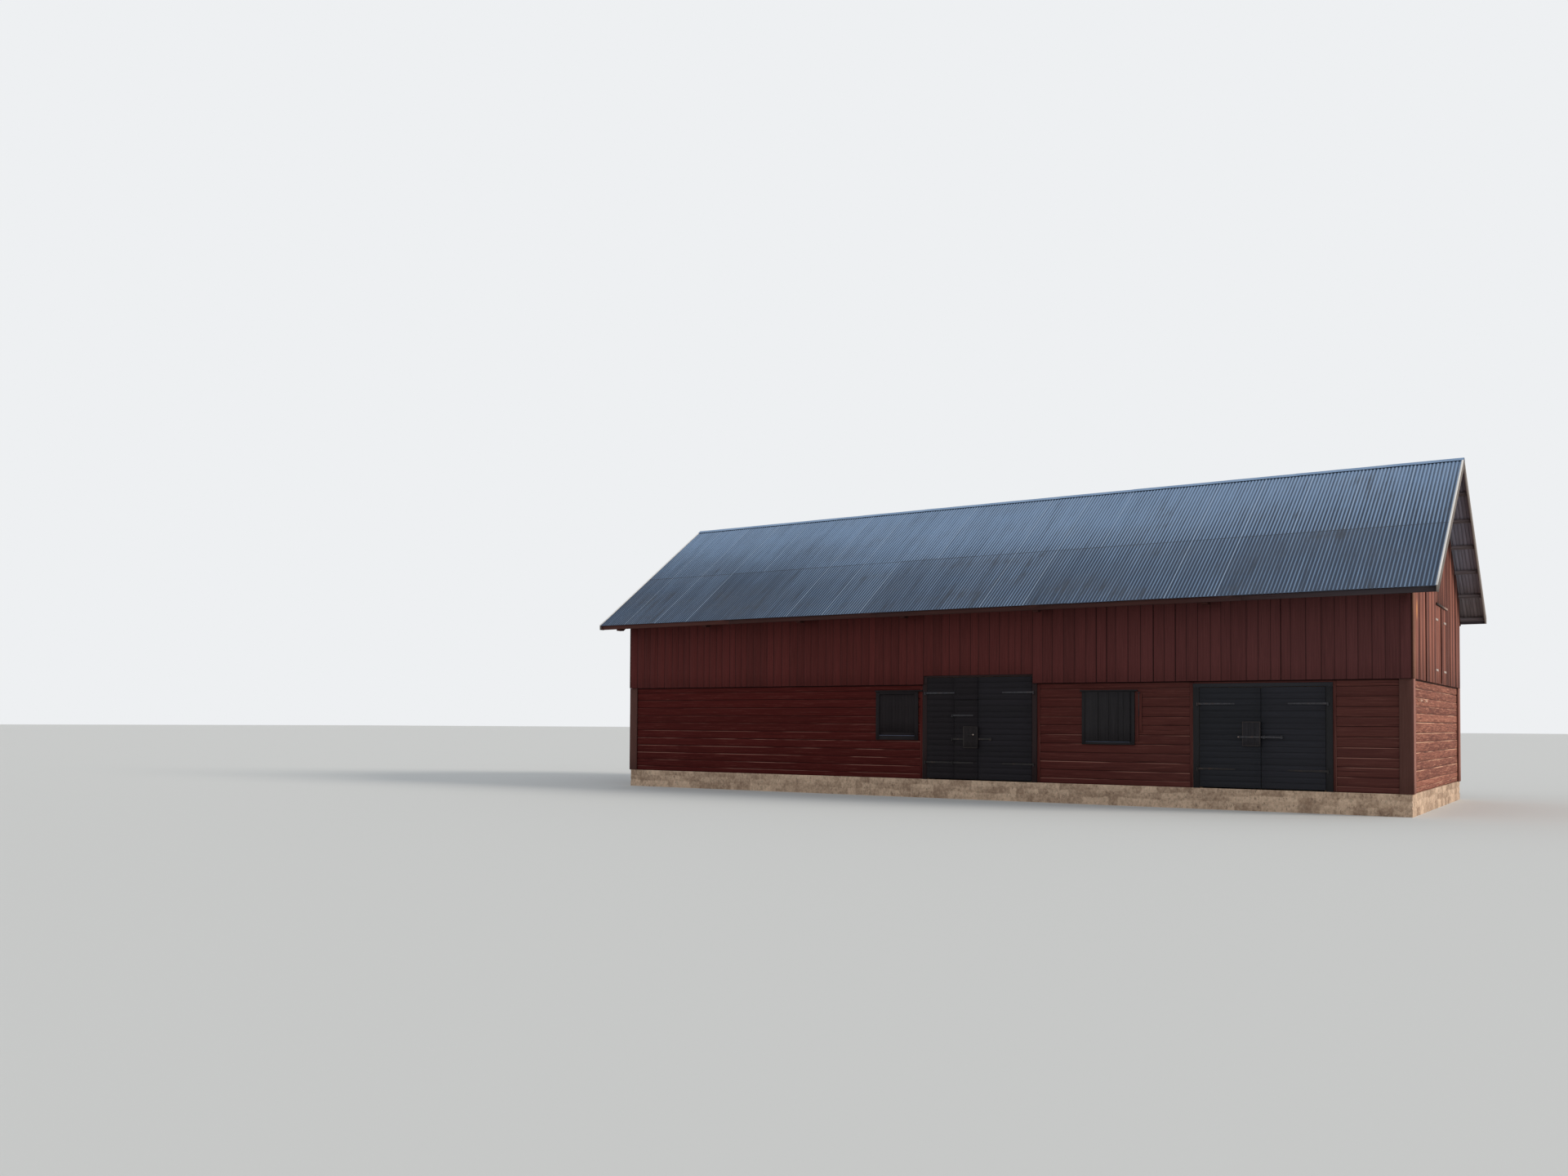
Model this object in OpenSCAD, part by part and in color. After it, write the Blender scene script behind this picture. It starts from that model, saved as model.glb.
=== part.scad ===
// Red barn: squared-log lower storey, boarded upper storey and hay loft,
// on a stone plinth, under a pitched roof of corrugated sheet.
// Millimetres. +X runs along the front wall to the right, +Y runs into the barn, +Z is up.
// The origin is on the ground at the middle of the plan.

/* [Plan] */
// Length of the long walls, outside the upper boards
wall_l = 20000; // [18000:100:24000]
// Width of the gable walls, outside the upper boards
wall_w = 7840; // [7200:20:9000]
// Height of the plinth above the lowest ground
plinth_h = 450; // [300:10:700]
// Thickness of the stone plinth
plinth_t = 500; // [350:10:700]
// How far the plinth stands out past the log face
plinth_out = 25; // [0:5:60]

/* [Log storey] */
// Height of the log walls above the plinth
logs_h = 2320; // [2250:10:2600]
// Thickness of the squared logs
log_t = 150; // [120:5:200]
// How far the log face lies behind the face of the upper boards
log_set_back = 45; // [35:1:80]
// Thickness of the corner boards
corner_t = 25; // [18:1:34]
// Width of a corner board on the long walls
corner_w_long = 240; // [150:5:300]
// Width of a corner board on the gables
corner_w_gable = 300; // [150:5:350]

/* [Boarded storey] */
// Thickness of the upright boards
board_t = 28; // [20:1:34]
// How far the upright boards hang down over the logs
board_lap = 40; // [20:5:80]
// Side of the square posts
post_s = 150; // [100:5:180]
// How deep the rafters are seated over the wall plates
seat_d = 60; // [40:5:80]
// Height of the wall plates
plate_h = 150; // [100:5:200]
// Height of the tie beams
tie_h = 180; // [120:5:220]
// Number of bays left of the tall doorway
bays_left = 3; // [2:1:5]
// Number of bays right of the tall doorway
bays_right = 2; // [1:1:4]

/* [Loft floor] */
// Height of the loft joists
joist_h = 200; // [120:5:220]
// Width of the loft joists
joist_w = 150; // [100:5:200]
// Number of loft joists in each bay
joist_count = 3; // [2:1:5]
// Thickness of the loft floor
floor_t = 30; // [20:1:50]

/* [Roof] */
// Height of the roof surface at the ridge, above the plinth
ridge_h = 7255; // [7000:5:7600]
// Height of the roof surface at the eave edge, above the plinth
eave_h = 4016; // [3950:2:4080]
// How far the roof runs out past the long walls
eave_out = 690; // [500:10:800]
// How far the roof runs out past the gables
verge_out = 500; // [300:10:700]
// Depth of the corrugated sheet
sheet_d = 18; // [12:1:30]
// Share of the slope that the lower course of sheets covers
course_share = 0.46; // [0.3:0.01:0.6]
// Thickness of the roof boards
roof_board_t = 22; // [18:1:32]
// Number of purlins on each slope
purlin_count = 7; // [5:1:9]
// Width of a purlin, measured up the slope
purlin_w = 75; // [50:5:100]
// Depth of a purlin
purlin_d = 75; // [60:5:90]
// Width of a rafter
rafter_w = 125; // [80:5:150]
// Depth of a rafter
rafter_d = 140; // [120:5:160]
// Reach of each flange of the ridge cap down its slope
cap_flange = 150; // [120:10:300]
// Thickness of the ridge cap
cap_t = 5; // [3:1:10]
// How far the rafter tails hang below the fascia boards
tail_drop = 40; // [20:5:60]
// Height of the eave fascia boards
fascia_h = 125; // [90:5:150]
// How far the fascia lies behind the sheet edge
fascia_in = 40; // [20:5:80]
// Thickness of the fascia and barge boards
trim_t = 25; // [18:1:32]
// Depth of the barge boards
barge_d = 185; // [140:5:240]
// Width of the capping on the barge boards
strip_w = 38; // [32:1:60]
// Thickness of the capping on the barge boards
strip_t = 15; // [10:1:30]
// How far the capping stands out past the face of the barge boards
strip_nose = 5; // [2:1:10]

/* [Doors] */
// Place of the tall doorway's meeting line
tall_door_x = 692; // [0:1:1500]
// Clear width of the tall doorway between its casings
tall_door_w = 2700; // [2400:10:3000]
// Height of the top of the tall leaves above the plinth
tall_door_h = 2437; // [2400:1:2600]
// Place of the low doorway's meeting line
low_door_x = 7116; // [6500:1:7400]
// Clear width of the low doorway between its casings
low_door_w = 2540; // [2200:10:2700]
// Height of the top of the low leaves above the plinth
low_door_h = 2134; // [1900:1:2150]
// Thickness of a door leaf's boards
leaf_t = 45; // [32:1:60]
// Thickness of the battens behind the leaves
batten_t = 30; // [20:1:45]
// Width of the battens behind the leaves
batten_w = 120; // [80:5:160]
// Gap where two leaves meet
meet_gap = 12; // [11:1:20]
// Gap between a leaf and the casing beside it
side_gap = 8; // [6:1:15]
// Gap under the leaves
floor_gap = 25; // [10:1:60]
// Width of the wicket
wicket_w = 614; // [500:2:700]
// Height of the top of the wicket above the plinth
wicket_h = 1896; // [1750:2:2000]
// Gap round the wicket
wicket_gap = 8; // [6:1:12]
// Width of the casing boards beside the doorways
casing_w = 118; // [90:1:140]
// Width of the casing boards beside the low doorway
low_casing_w = 132; // [90:1:150]
// Height of the board over the low doorway
low_head_h = 88; // [60:1:110]
// Height of the board over the tall doorway
tall_head_h = 50; // [40:1:80]
// How far the upper boards stand back from the left of the tall doorway
boards_back_l = 90; // [60:5:105]
// How far the upper boards stand back from its right
boards_back_r = 18; // [12:1:60]
// Width of the jamb posts behind the leaves
jamb_w = 100; // [70:5:140]
// How far a closed leaf laps over its jamb post
jamb_lap = 30; // [20:1:45]
// Height of the timber over the low doorway
low_lintel_h = 70; // [50:5:100]
// Height of the timber over the tall doorway
tall_lintel_h = 150; // [100:5:200]
// Gap between a doorway's casing and the frame post beside it
post_gap = 75; // [20:5:150]

/* [Ironwork] */
// Radius of the hinge pins
pin_r = 8; // [6:0.5:9]
// Radial clearance between a hinge pin and its eye
eye_clear = 0.5; // [0.3:0.1:1]
// Outer radius of the hinge eyes
eye_r = 16; // [12:0.5:18]
// Distance from the hinge axis to the face of a leaf
axis_out = 19; // [18.5:0.5:24]
// Distance from the hinge axis to the edge of its leaf
axis_in = 50; // [35:1:60]
// Height of the hinge straps
strap_h = 44; // [30:1:60]
// Thickness of the hinge straps
strap_t = 7; // [6:0.5:9]
// Length of the door straps from the hinge axis
strap_l = 780; // [500:10:900]
// Length of the wicket straps from the hinge axis
wicket_strap_l = 545; // [300:5:580]
// Height of the upper straps of the tall leaves above the plinth
tall_strap_top = 2070; // [1800:5:2200]
// Height of the upper straps of the low leaves above the plinth
low_strap_top = 1790; // [1500:5:1850]
// Height of the lower straps above the plinth
strap_low = 412; // [300:2:600]
// Height of the upper strap of the wicket above the plinth
wicket_strap_top = 1533; // [1300:1:1650]
// Height of the hinge brackets
bracket_h = 22; // [14:1:30]
// Width of the hinge brackets
bracket_w = 26; // [18:1:30]
// Height of the lock bars
bar_h = 40; // [25:1:60]
// Thickness of the lock bars
bar_t = 12; // [8:1:20]
// Height of the tall doors' bolt bar above the plinth
tall_bar_up = 980; // [850:5:1100]
// Reach of the tall doors' bolt bar past the meeting line
tall_bar_reach = 345; // [250:5:500]
// Height of the low doors' lock bar above the plinth
low_bar_up = 1092; // [1000:2:1200]
// Reach of the low doors' lock bar past the meeting line
low_bar_reach = 440; // [300:5:600]
// Distance from the lock bar's pivot to the meeting line
pivot_in = 420; // [380:5:500]
// Radius of the lock bar's pivot
pivot_r = 26; // [22:1:34]
// Width of the bar keepers
keeper_w = 32; // [20:1:50]
// Thickness of the bar keepers over the bar
keeper_t = 8; // [5:1:12]
// How far a bar keeper reaches past its bar, above and below
keeper_past = 12; // [6:1:24]
// Width of the wooden lock plates
plate_w = 365; // [250:5:400]
// Height of the wooden lock plates
plate_tall = 510; // [350:5:560]
// Thickness of the wooden lock plates
plate_t = 35; // [20:1:50]
// Height of the middle of the wicket's lock plate above the plinth
tall_plate_up = 1016; // [900:2:1100]
// Height of the middle of the low doors' lock plate above the plinth
low_plate_up = 1159; // [1050:1:1250]
// Height of the wicket's lever above the plinth
lever_up = 1077; // [1000:1:1150]
// Distance from the lever's axis to the meeting line
lever_in = 87; // [60:1:140]
// Length of the lever
lever_l = 150; // [100:5:200]
// Radius of the lever
lever_r = 8; // [5:0.5:11]
// How far the lever stands off its plate
lever_out = 50; // [35:1:70]
// Radius of the round plate under the lever
rose_r = 22; // [16:1:30]

/* [Windows] */
// Gap between the left window's casing and the tall doorway's casing
left_window_gap = 124; // [40:1:2000]
// Width of the left window's casing
left_window_w = 1172; // [900:2:1200]
// Height of the bottom of the left window's casing above the plinth
left_window_low = 931; // [700:1:1100]
// Place of the middle of the right window
right_window_x = 3836; // [3300:1:4600]
// Width of the right window's casing
right_window_w = 1204; // [900:2:1300]
// Height of the bottom of the right window's casing above the plinth
right_window_low = 892; // [700:1:1100]
// Height of the window casings
window_h = 1214; // [1000:2:1250]
// Width of the left window's casing boards
left_frame_w = 100; // [80:1:120]
// Width of the right window's casing boards
right_frame_w = 90; // [70:1:120]
// Thickness of the window casing boards
frame_t = 28; // [20:1:45]
// Thickness of the shutters
shutter_t = 26; // [18:1:40]
// How far the left shutter stops above its sill board
left_shutter_rise = 90; // [40:1:140]
// Width of the right shutter
right_shutter_w = 1024; // [850:2:1100]
// Height of the right shutter's lower edge above the bottom of its casing
right_shutter_rise = 80; // [40:2:140]
// Drop of the right shutter's upper edge below the top of its casing
right_shutter_drop = 40; // [36:1:80]
// Height of the drip boards over the windows
drip_h = 34; // [25:1:36]
// How far the drip boards stand out from the casings
drip_out = 12; // [6:1:24]
// How far the left window's drip board runs past its casing on the left
left_drip_l = 20; // [0:1:60]
// How far the right window's drip board runs past its casing on the left
right_drip_l = 42; // [0:1:80]
// How far the right window's drip board runs past its casing on the right
right_drip_r = 62; // [0:1:80]

/* [Hay door] */
// Sideways place of the hay door's meeting line
hay_door_y = 330; // [-600:10:600]
// Width of the hay door
hay_door_w = 1600; // [1200:20:1900]
// How far the hay door laps up over the tie beam
hay_lap = 61; // [30:1:120]
// Gap round the hay door's leaves
hay_gap = 8; // [4:1:12]
// Length of the board over the hay door
hood_l = 1860; // [1300:20:2100]
// Height of the board over the hay door
hood_h = 42; // [35:1:80]
// Thickness of the board over the hay door
hood_t = 30; // [20:1:40]
// How far the board over the hay door lies off its middle
hood_shift = 100; // [0:10:150]
// Length of the hay door's hinge straps
hay_strap_l = 380; // [250:10:500]
// How far the hay door's straps start past its edge
hay_strap_past = 60; // [30:5:100]
// Drop of the hay door's upper straps below its top
hay_strap_high = 320; // [200:10:500]
// Drop of the hay door's lower straps below its top
hay_strap_low = 1430; // [1100:10:1550]

/* [Gable knobs] */
// Height of the two knobs above the plinth
knob_up = 1856; // [1700:2:2000]
// Distance of the nearer knob from the front corner
knob_near = 1017; // [800:1:1200]
// Distance of the farther knob from the front corner
knob_far = 1726; // [1500:1:1900]
// Radius of the knobs
knob_r = 27; // [18:1:40]
// Reach of the knobs off the logs
knob_l = 70; // [50:1:100]
// Length of the round end of a knob
knob_head = 34; // [20:1:45]

/* [Hidden] */

// Clearance between timbers that pass through each other's walls
fit = 3;
// Gap between the two slopes along the ridge
ridge_gap = 4;
// Clearance under the ridge cap
cap_clear = 1;
// How far a cut runs past the face that it opens
over = 1;

// Levels
logs_top = plinth_h + logs_h;
boards_low = logs_top - board_lap;
ridge_z = plinth_h + ridge_h;
eave_z = plinth_h + eave_h;
leaf_low = plinth_h + floor_gap;

// Faces
half_l = wall_l / 2;
half_w = wall_w / 2;
log_x = half_l - log_set_back;
log_y = half_w - log_set_back;
frame_x = half_l - board_t;
frame_y = half_w - board_t;

// Roof form
eave_y = half_w + eave_out;
verge_x = half_l + verge_out;
verge_end = verge_x + trim_t + strip_nose;
pitch = atan((ridge_z - eave_z) / eave_y);
slope_l = eave_y / cos(pitch);
board_depth = sheet_d;
purlin_depth = board_depth + roof_board_t;
rafter_depth = purlin_depth + purlin_d;
under_depth = rafter_depth + rafter_d;
// Height of a layer of the roof over a point y, at a depth square to the slope
function roof_z(y, depth) = ridge_z - abs(y) * tan(pitch) - depth / cos(pitch);
// Place up the slope where a layer with its underside at this depth meets the ridge
function ridge_s(depth) = slope_l - depth * tan(pitch) - ridge_gap / 2;
// The rafters are seated over the plates, and the tie beams lie under them
plate_top = roof_z(frame_y, under_depth) + seat_d;
plate_low = plate_top - plate_h;
tie_low = plate_low - tie_h;
hay_top = tie_low + hay_lap;
fascia_y = eave_y - fascia_in;
fascia_top = roof_z(fascia_y, sheet_d);
fascia_low = fascia_top - fascia_h;
fascia_back = fascia_y - trim_t;
// Roof boards and the lowest purlin start just behind the fascia
roof_start = (eave_y - fascia_back - sheet_d * sin(pitch)) / cos(pitch) + fit;
purlin_first = roof_start + purlin_w / 2;
purlin_last = ridge_s(rafter_depth) - purlin_w;
purlin_step = (purlin_last - purlin_first) / (purlin_count - 1);
purlin_at = [for (i = [0 : purlin_count - 1]) purlin_first + i * purlin_step];
course_s = slope_l * course_share;

// Doorways
tall_l = tall_door_x - tall_door_w / 2;
tall_r = tall_door_x + tall_door_w / 2;
low_l = low_door_x - low_door_w / 2;
low_r = low_door_x + low_door_w / 2;
tall_top = plinth_h + tall_door_h;
low_top = plinth_h + low_door_h;
// The leaves' faces stand a little proud of the casing boards
leaf_proud = 3;
stop_gap = 5;
// How far a strap's neck laps over its leaf, and how high its eye stands over the bracket
neck_lap = 10;
eye_rise = 1;
casing_y = -(log_y + corner_t);
face_y = casing_y - leaf_proud;
stop_y = face_y + leaf_t + stop_gap;
axis_y = face_y - axis_out;
// The left window stands beside the tall doorway
left_window_x = tall_l - casing_w - left_window_gap - left_window_w / 2;
// Place of a jamb post's outer edge past the edge of its doorway
jamb_past = jamb_w - jamb_lap - side_gap;
// Edges and hinge axes of the leaves
tall_left_edge = tall_l + side_gap;
tall_right_edge = tall_r - side_gap;
low_left_edge = low_l + side_gap;
low_right_edge = low_r - side_gap;
tall_meet_l = tall_door_x - meet_gap / 2;
tall_meet_r = tall_door_x + meet_gap / 2;
low_meet_l = low_door_x - meet_gap / 2;
low_meet_r = low_door_x + meet_gap / 2;
wicket_l = tall_meet_l - wicket_w;
wicket_top = plinth_h + wicket_h;
wicket_axis = wicket_l - axis_in;
// Middle strap of the wicket, halfway between the other two
wicket_strap_mid = (wicket_strap_top + strap_low) / 2;
// The hinge axes of the four large leaves: place, upper strap height
leaf_axes = [
    [tall_left_edge - axis_in, tall_strap_top],
    [tall_right_edge + axis_in, tall_strap_top],
    [low_left_edge - axis_in, low_strap_top],
    [low_right_edge + axis_in, low_strap_top]
];
// Room between a batten and the jamb, the lintel or the meeting line
batten_room = 2 * jamb_lap;
tall_bar_z = plinth_h + tall_bar_up;
low_bar_z = plinth_h + low_bar_up;

// Frames of the upper storey: one each side of the tall doorway, the rest in even bays
frame_end = frame_x - post_s / 2;
frame_beside = casing_w + post_s + post_gap;
frame_l = tall_l - frame_beside;
frame_r = tall_r + frame_beside;
frames = concat(
    [for (i = [0 : bays_left]) -frame_end + i * (frame_l + frame_end) / bays_left],
    [for (i = [0 : bays_right]) frame_r + i * (frame_end - frame_r) / bays_right]);
bay_r = (frame_end - frame_r) / bays_right;
joists = [for (b = [0 : bays_right - 1]) for (j = [0 : joist_count - 1])
    frame_r + b * bay_r + bay_r * (j + 0.5) / joist_count];

// Colours
stone_c = "#b5aa98";
log_c = "#7c423a";
board_c = "#84453c";
weathered_c = "#a79c90";
timber_c = "#a58c69";
sheet_c = "#66768a";
door_c = "#2a2a2e";
iron_c = "#454548";
lock_c = "#4a3a33";
casing_c = "#303233";

// A box between two corners
module box(lo, hi) {
    translate(lo) cube(hi - lo);
}
// A copy on each side of the barn's long middle line
module front_and_back() {
    children();
    mirror([0, 1, 0]) children();
}
// A copy at each end of the barn
module both_ends() {
    children();
    mirror([1, 0, 0]) children();
}
// The front slope's own axes: along the barn, up the slope, and square out of it
module front_slope() {
    translate([0, -eave_y, eave_z]) rotate([pitch, 0, 0]) children();
}
// A layer on the slope between two places along it, two up it and two depths
module layer(x0, x1, s0, s1, d0, d1) {
    translate([x0, s0, -d1]) cube([x1 - x0, s1 - s0, d1 - d0]);
}
// An outline of [y, z] points carried along the barn
module along_x(x0, x1) {
    translate([x0, 0, 0]) rotate([90, 0, 90]) linear_extrude(x1 - x0) children();
}

module long_plinths() {
    color(stone_c) front_and_back()
        box([-log_x - plinth_out, -log_y - plinth_out, 0],
            [log_x + plinth_out, -log_y - plinth_out + plinth_t, plinth_h]);
}

module gable_plinths() {
    inner_y = log_y + plinth_out - plinth_t;
    color(stone_c) both_ends()
        box([log_x + plinth_out - plinth_t, -inner_y, 0], [log_x + plinth_out, inner_y, plinth_h]);
}

// A stretch of the front log wall between two places
module front_log_stretch(x0, x1, low = plinth_h) {
    color(log_c) box([x0, -log_y, low], [x1, -log_y + log_t, logs_top]);
}
// The hole in the wall behind a window's shutter
module window_hole(mid, w, low, frame_w) {
    box([mid - w / 2 + frame_w, -log_y - over, plinth_h + low + frame_w],
        [mid + w / 2 - frame_w, -log_y + log_t + over, plinth_h + low + window_h - frame_w]);
}

module front_logs_left() {
    color(log_c) difference() {
        front_log_stretch(-log_x, tall_l - jamb_past);
        window_hole(left_window_x, left_window_w, left_window_low, left_frame_w);
    }
}

module front_logs_middle() {
    color(log_c) difference() {
        front_log_stretch(tall_r + jamb_past, low_l - jamb_past);
        window_hole(right_window_x, right_window_w, right_window_low, right_frame_w);
    }
}

module front_logs_right() {
    front_log_stretch(low_r + jamb_past, log_x);
}

module front_logs_over_low_door() {
    front_log_stretch(low_l - jamb_past, low_r + jamb_past, low_top - jamb_lap + low_lintel_h);
}

module back_logs() {
    color(log_c) box([-log_x, log_y - log_t, plinth_h], [log_x, log_y, logs_top]);
}

module gable_logs() {
    inner_y = log_y - log_t;
    color(log_c) both_ends()
        box([log_x - log_t, -inner_y, plinth_h], [log_x, inner_y, logs_top]);
}

// Each corner of the log storey is cased with two boards, from the upper boards down
module corner_boards() {
    top = boards_low;
    color(weathered_c) both_ends() front_and_back() {
        box([log_x - corner_w_long + corner_t, -log_y - corner_t, plinth_h],
            [log_x + corner_t, -log_y, top]);
        box([log_x, -log_y - corner_t, plinth_h],
            [log_x + corner_t, -log_y - corner_t + corner_w_gable, top]);
    }
}

// A stretch of the upright boards on a long wall, notched round the rafters
module board_stretch(x0, x1, low = boards_low) {
    notch_w = rafter_w / 2 + fit;
    notch_low = roof_z(half_w, under_depth) - fit;
    color(board_c) difference() {
        box([x0, -half_w, low], [x1, -frame_y, roof_z(half_w, purlin_depth)]);
        for (x = frames) {
            to_gable_l = x < -frame_end + 1 ? 2 * post_s : notch_w;
            to_gable_r = x > frame_end - 1 ? 2 * post_s : notch_w;
            box([x - to_gable_l, -half_w - over, notch_low],
                [x + to_gable_r, -frame_y + over, ridge_z]);
        }
    }
}

module front_boards_left() {
    board_stretch(-frame_x, tall_l - boards_back_l);
}

module front_boards_over_tall_door() {
    board_stretch(tall_l - boards_back_l, tall_r + boards_back_r, tall_top + tall_head_h);
}

module front_boards_right() {
    board_stretch(tall_r + boards_back_r, frame_x);
}

module back_boards() {
    mirror([0, 1, 0]) board_stretch(-frame_x, frame_x);
}

// The boards of the right gable, fitted round the purlins that carry the verge
module gable_board_wall() {
    top = roof_z(half_w, purlin_depth) - fit;
    peak = roof_z(0, purlin_depth) - fit;
    color(board_c) difference() {
        along_x(frame_x, half_l)
            polygon([[-half_w, boards_low], [half_w, boards_low], [half_w, top],
                     [0, peak], [-half_w, top]]);
        front_and_back() front_slope() for (s = purlin_at)
            layer(frame_x - over, half_l + over, s - purlin_w / 2 - fit, s + purlin_w / 2 + fit,
                  purlin_depth - 2 * fit, rafter_depth + fit);
    }
}

module right_gable_boards() {
    color(board_c) difference() {
        gable_board_wall();
        box([frame_x - over, hay_door_y - hay_door_w / 2 - hay_gap, boards_low - over],
            [half_l + over, hay_door_y + hay_door_w / 2 + hay_gap, hay_top + hay_gap]);
    }
}

module left_gable_boards() {
    mirror([1, 0, 0]) gable_board_wall();
}

// Posts stand on the logs under every frame, and carry the hay door's sides in the gable
module wall_posts() {
    hay_post = hay_door_w / 2 - jamb_lap;
    side_post = half_w / 3;
    color(timber_c) {
        for (x = frames) front_and_back()
            box([x - post_s / 2, -frame_y, logs_top], [x + post_s / 2, -frame_y + post_s, plate_low]);
        for (y = [hay_door_y - hay_post - post_s, hay_door_y + hay_post])
            box([frame_x - post_s, y, logs_top], [frame_x, y + post_s, tie_low]);
        for (y = [-side_post - post_s, side_post])
            box([-frame_x, y, logs_top], [-frame_x + post_s, y + post_s, tie_low]);
    }
}

module wall_plates() {
    color(timber_c) front_and_back()
        box([-frame_x, -frame_y, plate_low], [frame_x, -frame_y + post_s, plate_top]);
}

module tie_beams() {
    inner_y = frame_y - post_s;
    color(timber_c) for (x = frames)
        box([x - post_s / 2, -inner_y, tie_low], [x + post_s / 2, inner_y, plate_low]);
}

module loft_joists() {
    color(timber_c) for (x = joists)
        box([x - joist_w / 2, -frame_y, logs_top], [x + joist_w / 2, frame_y, logs_top + joist_h]);
}

module loft_floor() {
    inner_y = frame_y - post_s - fit;
    color(timber_c)
        box([joists[0] - joist_w / 2, -inner_y, logs_top + joist_h],
            [frame_end - post_s / 2 - fit, inner_y, logs_top + joist_h + floor_t]);
}

// A rafter seated on the wall plate, cut plumb at the ridge, with a tail out to the fascia
module rafter(x) {
    tail_low = fascia_low - tail_drop;
    far = 2 * eave_y;
    color(timber_c) difference() {
        front_slope() layer(x - rafter_w / 2, x + rafter_w / 2, -purlin_w, slope_l + rafter_d,
                            rafter_depth, under_depth);
        box([x - rafter_w, -ridge_gap / 2, 0], [x + rafter_w, far, 2 * ridge_z]);
        box([x - rafter_w, -frame_y, 0], [x + rafter_w, -frame_y + post_s, plate_top]);
        box([x - rafter_w, -far, 0], [x + rafter_w, -frame_y - board_t, tail_low]);
        box([x - rafter_w, -far, 0], [x + rafter_w, -fascia_back, 2 * ridge_z]);
    }
}

module rafters_front() {
    for (x = frames) rafter(x);
}

module rafters_back() {
    mirror([0, 1, 0]) for (x = frames) rafter(x);
}

module purlins() {
    color(timber_c) front_and_back() front_slope() for (s = purlin_at)
        layer(-verge_x, verge_x, s - purlin_w / 2, s + purlin_w / 2, purlin_depth, rafter_depth);
}

module roof_boards() {
    color(weathered_c) front_and_back() front_slope()
        layer(-verge_x, verge_x, roof_start, ridge_s(purlin_depth), board_depth, purlin_depth);
}

// One course of sheets, as the slab that the corrugations fill
module sheet_course(s0, s1) {
    color(sheet_c) front_slope() layer(-verge_x, verge_x, s0, s1, 0, sheet_d);
}

module front_sheets_lower() {
    sheet_course(0, course_s);
}

module front_sheets_upper() {
    sheet_course(course_s, ridge_s(sheet_d));
}

module back_sheets_lower() {
    mirror([0, 1, 0]) sheet_course(0, course_s);
}

module back_sheets_upper() {
    mirror([0, 1, 0]) sheet_course(course_s, ridge_s(sheet_d));
}

// A bent sheet laid over the ridge
module ridge_cap() {
    reach = cap_flange * cos(pitch);
    low = -cap_clear;
    high = -cap_clear - cap_t;
    color(sheet_c) along_x(-verge_end, verge_end)
        polygon([[-reach, roof_z(reach, low)], [0, roof_z(0, low)], [reach, roof_z(reach, low)],
                 [reach, roof_z(reach, high)], [0, roof_z(0, high)], [-reach, roof_z(reach, high)]]);
}

module eave_fascias() {
    color(board_c) front_and_back()
        box([-verge_x, -fascia_y, fascia_low], [verge_x, -fascia_back, fascia_top]);
}

// A barge board on the ends of the purlins, cut plumb at the ridge and the eave, and level with
// the lower edge of the fascia
module barge_board() {
    end_x = verge_x + trim_t;
    color(weathered_c) difference() {
        front_slope() layer(verge_x, end_x, -barge_d, slope_l + barge_d, 0, barge_d);
        box([0, -ridge_gap / 2, 0], [end_x + over, eave_y, 2 * ridge_z]);
        box([0, -2 * eave_y, 0], [end_x + over, -eave_y, 2 * ridge_z]);
        box([0, -2 * eave_y, 0], [end_x + over, -frame_y, fascia_low]);
    }
}

module barge_boards() {
    both_ends() front_and_back() barge_board();
}

module verge_strips() {
    end_s = slope_l - cap_flange - fit;
    color(weathered_c) both_ends() front_and_back() front_slope()
        layer(verge_end - strip_w, verge_end, fit, end_s, -strip_t, 0);
}

// A rebated jamb post on the left of a doorway whose edge is at x
module jamb_post(x, top) {
    box([x - jamb_past, stop_y, plinth_h], [x - jamb_past + jamb_w, -log_y + log_t, top]);
    box([x - jamb_past, -log_y, plinth_h], [x, stop_y + over, top]);
}
// The posts of a doorway and the timber over them
module door_frame(left, right, top, head) {
    mid = (left + right) / 2;
    head_low = top - jamb_lap;
    color(timber_c) {
        translate([mid, 0, 0]) both_ends() translate([-mid, 0, 0]) jamb_post(left, head_low + head);
        box([left, stop_y, head_low], [right, -log_y + log_t, head_low + head]);
    }
}

module tall_door_frame() {
    door_frame(tall_l, tall_r, tall_top, tall_lintel_h);
}

module low_door_frame() {
    door_frame(low_l, low_r, low_top, low_lintel_h);
}

// Side boards, narrower where they rise between the upper boards, and a drip board over the leaves
module tall_door_casing() {
    top = tall_top + tall_head_h;
    color(casing_c) {
        box([tall_l - casing_w, casing_y, plinth_h], [tall_l, -log_y, boards_low]);
        box([tall_l - boards_back_l + fit, casing_y, plinth_h], [tall_l, -log_y, top]);
        box([tall_r, casing_y, plinth_h], [tall_r + casing_w, -log_y, boards_low]);
        box([tall_r, casing_y, plinth_h], [tall_r + boards_back_r - fit, -log_y, top]);
        box([tall_l, casing_y - leaf_proud, tall_top + side_gap], [tall_r, -log_y, top]);
    }
}

module low_door_casing() {
    color(casing_c) {
        box([low_l - low_casing_w, casing_y, plinth_h], [low_l, -log_y, low_top + side_gap]);
        box([low_r, casing_y, plinth_h], [low_r + low_casing_w, -log_y, low_top + side_gap]);
        box([low_l - low_casing_w, casing_y, low_top + side_gap],
            [low_r + low_casing_w, -log_y, low_top + low_head_h]);
    }
}

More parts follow.
